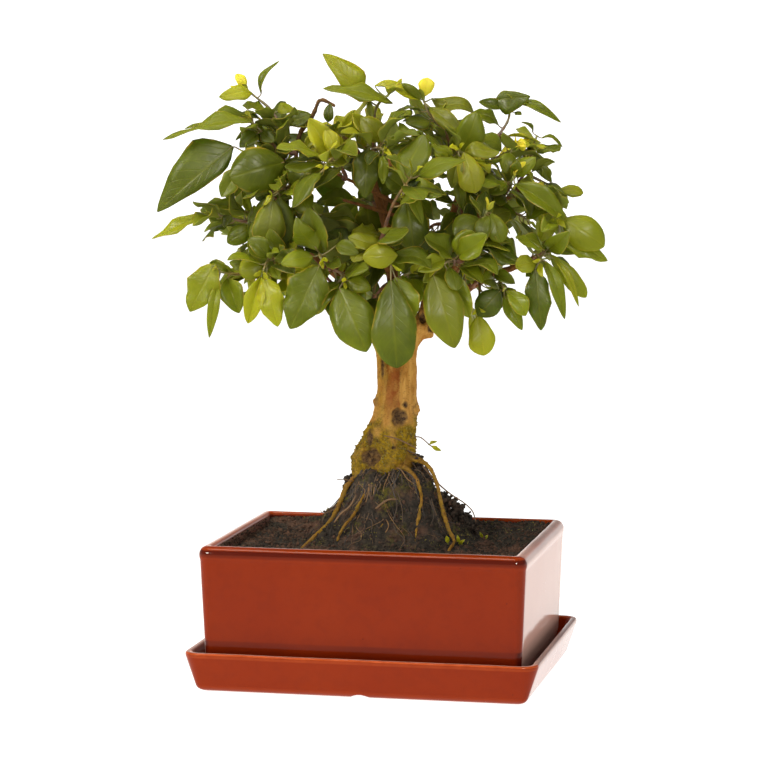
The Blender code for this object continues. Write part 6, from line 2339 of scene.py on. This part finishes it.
@dataclass
class Foliage:
    """The leafy sprays, each a twig with stalked leaves and a young tip."""

    leaf: bpy.types.Material
    bark: bpy.types.Material
    seed: int = 41

    def youth_at(self, place: Vector, draw: random.Random) -> float:
        """How young a leaf is, by the flushes of young growth near it and by chance.

        Args:
            place: The leaf's middle.
            draw: The source of chance.

        Returns:
            A number from 0 to 1.
        """
        across, front, up = tree_place(place)
        young = max(0.0, draw.gauss(0.02, 0.1))
        if front > -25.0:
            for flush in FLUSHES:
                off = math.hypot(across - flush.across, up - flush.up) / flush.reach
                if off < 1.0:
                    young = max(young, flush.youth * (1 - off * off) ** 0.5)
        elif draw.random() < 0.12:
            young = draw.uniform(0.2, 0.8)
        return min(1.0, young)

    def blade(self, draft: MeshDraft, blade: Blade, draw: random.Random, youth: float, tone: float) -> None:
        """Add a leaf's blade and stalk.

        Args:
            draft: The mesh.
            blade: The blade.
            draw: The source of chance.
            youth: How young it is.
            tone: How light it is.
        """
        reach = blade.tip - blade.base
        length = reach.length
        rows, columns = (ALONG_SMALL, ACROSS_SMALL) if length < SMALL_LEAF else (ALONG, ACROSS)
        bend = Bend.drawn(draw, blade.width / length)
        if blade.habit:
            bend = replace(blade.habit.value, phase=bend.phase)
        ahead = np.array(reach / length)
        aside = np.array(blade.facing.cross(reach).normalized())
        above = np.cross(ahead, aside)
        u, v = rows[:, None], columns[None, :]
        rise = np.sin(math.pi / 2 * np.minimum(u / bend.belly, 1.0) ** 0.8)
        fall = (1 - (np.maximum(u - bend.belly, 0.0) / (1 - bend.belly)) ** (bend.taper + 0.35)) ** 0.72
        half = blade.width / 2 * np.maximum(np.where(u < bend.belly, rise, fall), 0.035)
        half = half * (1 + bend.ruffle * np.sin(2.8 * math.pi * bend.waves * u + bend.phase * 1.7 + v))
        half = half * (1 + bend.skew * np.sign(v))
        half = np.where(u < 0.01, min(0.9, blade.width * 0.05), half)
        fold = bend.fold * (1 - 0.4 * u)
        wave = bend.wave * v ** 2 * np.sin(2 * math.pi * bend.waves * u + bend.phase + np.sign(v) * 1.3)
        side = v * half * np.cos(fold)
        lift = np.abs(v) * half * np.sin(fold) - bend.cup * half * v ** 2
        lift = lift + wave * half * np.sin(math.pi * u) ** 0.5
        turn = bend.twist * (u - 0.45)
        sideways = side * np.cos(turn) - lift * np.sin(turn)
        upward = side * np.sin(turn) + lift * np.cos(turn)
        arch = bend.arch * np.sin(math.pi * u) + bend.recurve * np.sin(2 * math.pi * u)
        sweep = bend.sickle * np.sin(math.pi * u)
        course = u[..., None] * ahead + arch[..., None] * above + sweep[..., None] * aside
        middle = np.array(blade.base) + length * course
        sheet = middle + sideways[..., None] * aside + upward[..., None] * above
        normal = np.cross(np.gradient(sheet, axis=0), np.gradient(sheet, axis=1))
        normal /= np.maximum(np.linalg.norm(normal, axis=2, keepdims=True), 1e-9)
        groove = 0.12 * np.maximum(0.0, 1 - np.abs(v) / 0.12) * (1 - 0.6 * u)
        thick = LEAF_THICK / 2 * (1 - 0.35 * v ** 2 + 0 * u)
        top = sheet + normal * (thick - groove)[..., None]
        under = sheet - normal * (thick + 1.6 * groove)[..., None]
        self.weave(draft, top, under, rows, columns, youth, tone)
        self.stalk(draft, blade, ahead, above, youth, bend.arch)

    def weave(self, draft: MeshDraft, top: np.ndarray, under: np.ndarray, rows: np.ndarray,
              columns: np.ndarray, youth: float, tone: float) -> None:
        """Join a leaf's two sides into a closed sheet.

        Args:
            draft: The mesh.
            top: The upper side's grid of points.
            under: The lower side's.
            rows: Each row's place along the blade.
            columns: Each column's place across it.
            youth: How young the leaf is.
            tone: How light it is.
        """
        deep, wide = len(rows), len(columns)
        half = deep * wide
        faces = []
        for i in range(deep - 1):
            for j in range(wide - 1):
                k = i * wide + j
                faces.append([k, k + wide, k + wide + 1, k + 1])
                faces.append([half + k, half + k + 1, half + k + wide + 1, half + k + wide])
        loop = ([i * wide for i in range(deep)] + [(deep - 1) * wide + j for j in range(1, wide)]
                + [i * wide + wide - 1 for i in range(deep - 2, -1, -1)] + list(range(wide - 2, 0, -1)))
        for first, second in zip(loop, loop[1:] + loop[:1]):
            faces.append([second, first, half + first, half + second])
        along = np.tile(np.repeat(rows, wide), 2)
        across = np.tile(columns, deep * 2)
        draft.add(np.concatenate((top.reshape(-1, 3), under.reshape(-1, 3))), faces, 0, along=along,
                  across=across, youth=youth, tone=tone, under=np.repeat((0.0, 1.0), half))

    def stalk(self, draft: MeshDraft, blade: Blade, ahead: np.ndarray, above: np.ndarray, youth: float,
              arch: float) -> None:
        """Add a leaf's stalk, from inside its twig to the start of its midrib.

        Args:
            draft: The mesh.
            blade: The blade.
            ahead: The blade's direction.
            above: Its upper side's.
            youth: How young it is.
            arch: How far the blade arches.
        """
        root, base = np.array(blade.root), np.array(blade.base)
        length = (blade.tip - blade.base).length
        sag = 0.12 * np.linalg.norm(base - root)
        rows = np.array((root, root + 0.5 * (base - root) - above * sag, base - above * 0.12,
                         base + ahead * 0.1 * length + above * (arch * 0.28 * length - 0.2)))
        path = flowing(rows, 1.6)
        thick = min(0.5, 0.24 + length * 0.009)
        draft.add(*swept(path, np.linspace(thick, thick * 0.55, len(path)), 6), 1, youth=0.35 + 0.6 * youth)

    def twig(self, draft: MeshDraft, points: Sequence[Vector], draw: random.Random, youth: float) -> None:
        """Add a twig that thins from its limb to its tip, with swollen nodes.

        Args:
            draft: The mesh.
            points: Its points.
            draw: The source of chance.
            youth: How green its tip is.
        """
        inside = points[0] - (points[1] - points[0]).normalized() * 1.6
        rows = flowing(np.array([tuple(inside), *(tuple(p) for p in points)]), 1.5)
        share = np.linspace(0.0, 1.0, len(rows))
        radius = 0.95 - 0.45 * share + 0.5 * np.exp(-share * 14)
        radius *= 1 + 0.12 * np.cos(share * 2 * math.pi * draw.randint(4, 7))
        draft.add(*swept(rows, radius, 8), 1, youth=np.repeat(youth * share ** 1.5, 8))

    def tip(self, draft: MeshDraft, points: Sequence[Vector], draw: random.Random, youth: float) -> None:
        """Add the small unfolding leaves at a twig's end.

        Args:
            draft: The mesh.
            points: The twig's points.
            draw: The source of chance.
            youth: How young they are.
        """
        end, heading = points[-1], (points[-1] - points[-2]).normalized()
        side = heading.orthogonal().normalized()
        side.rotate(Matrix.Rotation(draw.uniform(0, 6.28), 3, heading))
        for sign, size in ((1, 1.0), (-1, 0.9)):
            length = draw.uniform(4.5, 8.5) * size
            out = (heading + side * sign * draw.uniform(0.35, 0.75) + UP * 0.15).normalized()
            facing = (heading * 0.5 - side * sign + UP * 0.3).normalized()
            base = end + out * 0.7
            young = Blade(end - heading * 0.3, base, base + out * length,
                          length * draw.uniform(0.36, 0.5), facing)
            if not in_window(young):
                self.blade(draft, young, draw, min(1.0, youth + draw.uniform(0.25, 0.5)), 0.8)

    def build(self, number: int, shoot: Shoot, node: str | None) -> bpy.types.Object:
        """Make one spray.

        Args:
            number: Its number in the crown.
            shoot: Its twig and blades.
            node: The solid that it stands for.

        Returns:
            The spray.
        """
        draw = random.Random(self.seed * 1000 + number)
        draft = MeshDraft(*LEAF_VALUES)
        centre = tree_point(CROWN_CENTRE)
        at_tip = self.youth_at(shoot.twig[-1], draw)
        self.twig(draft, shoot.twig, draw, 0.45 + 0.55 * at_tip)
        self.tip(draft, shoot.twig, draw, at_tip)
        for blade in shoot.blades:
            middle = blade.base.lerp(blade.tip, 0.5)
            # Leaves darker towards the crown's middle: older leaves there, and painted shade inside the
            # crown.
            away = (middle - centre).length / 80.0
            tone = held(draw.gauss(0.2 + 0.42 * away, 0.2))
            if (blade.tip - blade.base).length * blade.width > LARGE_LEAF:
                tone *= 0.75
            self.blade(draft, blade, draw, self.youth_at(middle, draw), tone)
        thing = draft.make(f"foliage_{number:02d}", [self.leaf, self.bark])
        return settle(thing, Slot.LEAF, *([node] if node else []))

    def strays(self) -> bpy.types.Object:
        """Make the small leaves that sprout on the root ball and by the trunk's foot.

        Returns:
            The leaves, in one piece.
        """
        draw = random.Random(self.seed)
        draft = MeshDraft(*LEAF_VALUES)
        for leaf in STRAY_LEAVES:
            base, tip = tree_point(leaf.base), tree_point(leaf.tip)
            root = base - (tip - base) * 0.2
            self.blade(draft, Blade(root, base, tip, leaf.width, tilted(leaf.tilt)), draw, 0.55, 0.8)
        return settle(draft.make("stray_leaves", [self.leaf, self.bark]), Slot.LEAF)


# Studio

@dataclass(frozen=True)
class Lamp:
    """A square soft light that faces the plant: its place and side in metres, and its watts.

    A glint only shows as a reflection.
    """

    name: str
    place: Point
    power: float
    size: float
    glint: bool = False


LAMPS = (
    Lamp("overhead light", (-0.25, -0.2, 1.3), 11.0, 0.6),
    Lamp("front light", (-0.9, -1.3, 0.9), 7.0, 0.5),
    Lamp("left glint", (-0.8, -1.3, 0.9), 44.0, 0.36, glint=True),
    Lamp("right glint", (0.6, -1.3, 0.95), 38.0, 0.36, glint=True),
)


@dataclass
class Studio:
    """The pale floor, the soft light and the camera."""

    eye: Point = (0.2835, -1.2995, 0.27605)
    yaw: float = 0.217
    pitch: float = 0.103
    roll: float = -0.002
    lens: float = 135.89
    film: float = 36.0
    reach: float = 50.0
    aim: Point = (0.0, 0.0, 0.15)
    floor_half: float = 4.0
    floor_z: float = -0.0004
    floor_colour: tuple = srgb(150, 150, 149)
    sky: float = 0.38
    horizon: float = 1.4
    far_glow: float = 1.0
    near_glow: float = 0.5
    warmth: Point = (1.0, 0.95, 0.83)

    def floor(self) -> None:
        """Lay the floor under the saucer, which glows less towards the camera."""
        mesh = bpy.data.meshes.new("floor")
        half, z = self.floor_half, self.floor_z
        mesh.from_pydata([(-half, -half, z), (half, -half, z), (half, half, z), (-half, half, z)],
                         [], [(0, 1, 2, 3)])
        s = Sketch("pale floor")
        glow = s.span(s.axis("Y"), -0.5, -0.2, self.near_glow, self.far_glow)
        mesh.materials.append(s.dress(Base_Color=self.floor_colour, Roughness=0.9,
                                      Emission_Color=(1.0, 1.0, 1.0, 1.0), Emission_Strength=glow))
        thing = placed("floor", mesh)

    def world(self) -> None:
        """Light the plant from all around, most from near the horizon, which stays white behind it."""
        world = bpy.data.worlds.new("studio")
        world.use_nodes = True
        tree = world.node_tree
        place = tree.nodes.new("ShaderNodeTexCoord").outputs["Generated"]
        parts = tree.nodes.new("ShaderNodeSeparateXYZ")
        fade = tree.nodes.new("ShaderNodeMapRange")
        tree.links.new(place, parts.inputs[0])
        tree.links.new(parts.outputs["Z"], fade.inputs["Value"])
        for key, value in enumerate((0.08, 0.22, self.horizon, self.sky), start=1):
            fade.inputs[key].default_value = value
        tree.links.new(fade.outputs[0], tree.nodes["Background"].inputs["Strength"])
        tree.nodes["Background"].inputs["Color"].default_value = (1.0, 1.0, 1.0, 1.0)
        bpy.context.scene.world = world

    def light(self, lamp: Lamp) -> None:
        """Hang a lamp.

        Args:
            lamp: The lamp.
        """
        light = bpy.data.lights.new(lamp.name, "AREA")
        light.energy = lamp.power
        light.size = lamp.size
        light.color = self.warmth
        thing = placed(lamp.name, light)
        thing.visible_diffuse = not lamp.glint
        thing.location = lamp.place
        ahead = Vector(self.aim) - Vector(lamp.place)
        thing.rotation_euler = ahead.to_track_quat("-Z", "Y").to_euler()

    def camera(self) -> None:
        """Set up the camera where a fit to the planter's corners puts it."""
        ahead = Vector((-math.sin(self.yaw) * math.cos(self.pitch), math.cos(self.yaw) * math.cos(self.pitch),
                        -math.sin(self.pitch)))
        right = Vector((math.cos(self.yaw), math.sin(self.yaw), 0.0))
        over = right.cross(ahead)
        side = right * math.cos(self.roll) + over * math.sin(self.roll)
        top = over * math.cos(self.roll) - right * math.sin(self.roll)
        lens = bpy.data.cameras.new("camera")
        lens.sensor_width = self.film
        lens.lens = self.lens
        lens.clip_end = self.reach
        thing = placed("camera", lens)
        turn = Matrix((side, top, -ahead)).transposed().to_4x4()
        thing.matrix_world = Matrix.Translation(self.eye) @ turn
        bpy.context.scene.camera = thing

    def build(self) -> None:
        """Set up the whole studio."""
        bpy.context.scene.view_settings.view_transform = "Standard"
        self.world()
        self.floor()
        for lamp in LAMPS:
            self.light(lamp)
        self.camera()


def main() -> None:
    """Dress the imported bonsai, piece by piece."""
    logging.basicConfig(level=logging.INFO, format="%(name)s: %(message)s")
    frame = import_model()
    glaze = Glaze().build("red glaze")
    peat = Peat().build("peat")
    bark = Bark().build("privet bark")
    leaf = LeafGreen().build("privet leaf")
    plastic = MeshPlastic().build("drain mesh plastic")
    saucer(glaze).build()
    pot(glaze).build()
    for name in ("drain_mesh_1", "drain_mesh_2"):
        frame["nodes"][name].data.materials[0] = plastic
        LOG.info("%s: kept, with a new finish", name)
    bed = PeatBed(peat)
    soil = bed.build()
    wood = Wood(bark).build()
    places, normals = bed.surface(soil)
    ball = RootBall(peat, ROOT_HAIR.build("root fibre"), MOSS_GREEN.build("moss"), bed, places, normals)
    ball.crumbs()
    ball.wing()
    ball.fibres()
    ball.tufts(wood)
    crown = Crown()
    crown.grow()
    solid_count = len(crown.shoots)
    crown.draw = random.Random(SEED + 1)  # the solids have no smaller leaves, so these draws are apart
    crown.thicken()
    LOG.info("crown: %d shoots, %d leaves", len(crown.shoots), len(crown.centres()))
    foliage = Foliage(leaf, TwigBark().build("twig bark"))
    for number, shoot in enumerate(crown.shoots, start=1):
        foliage.build(number, shoot, f"spray_{number:02d}" if number <= solid_count else None)
    foliage.strays()
    Studio().build()


if __name__ == "__main__":
    main()
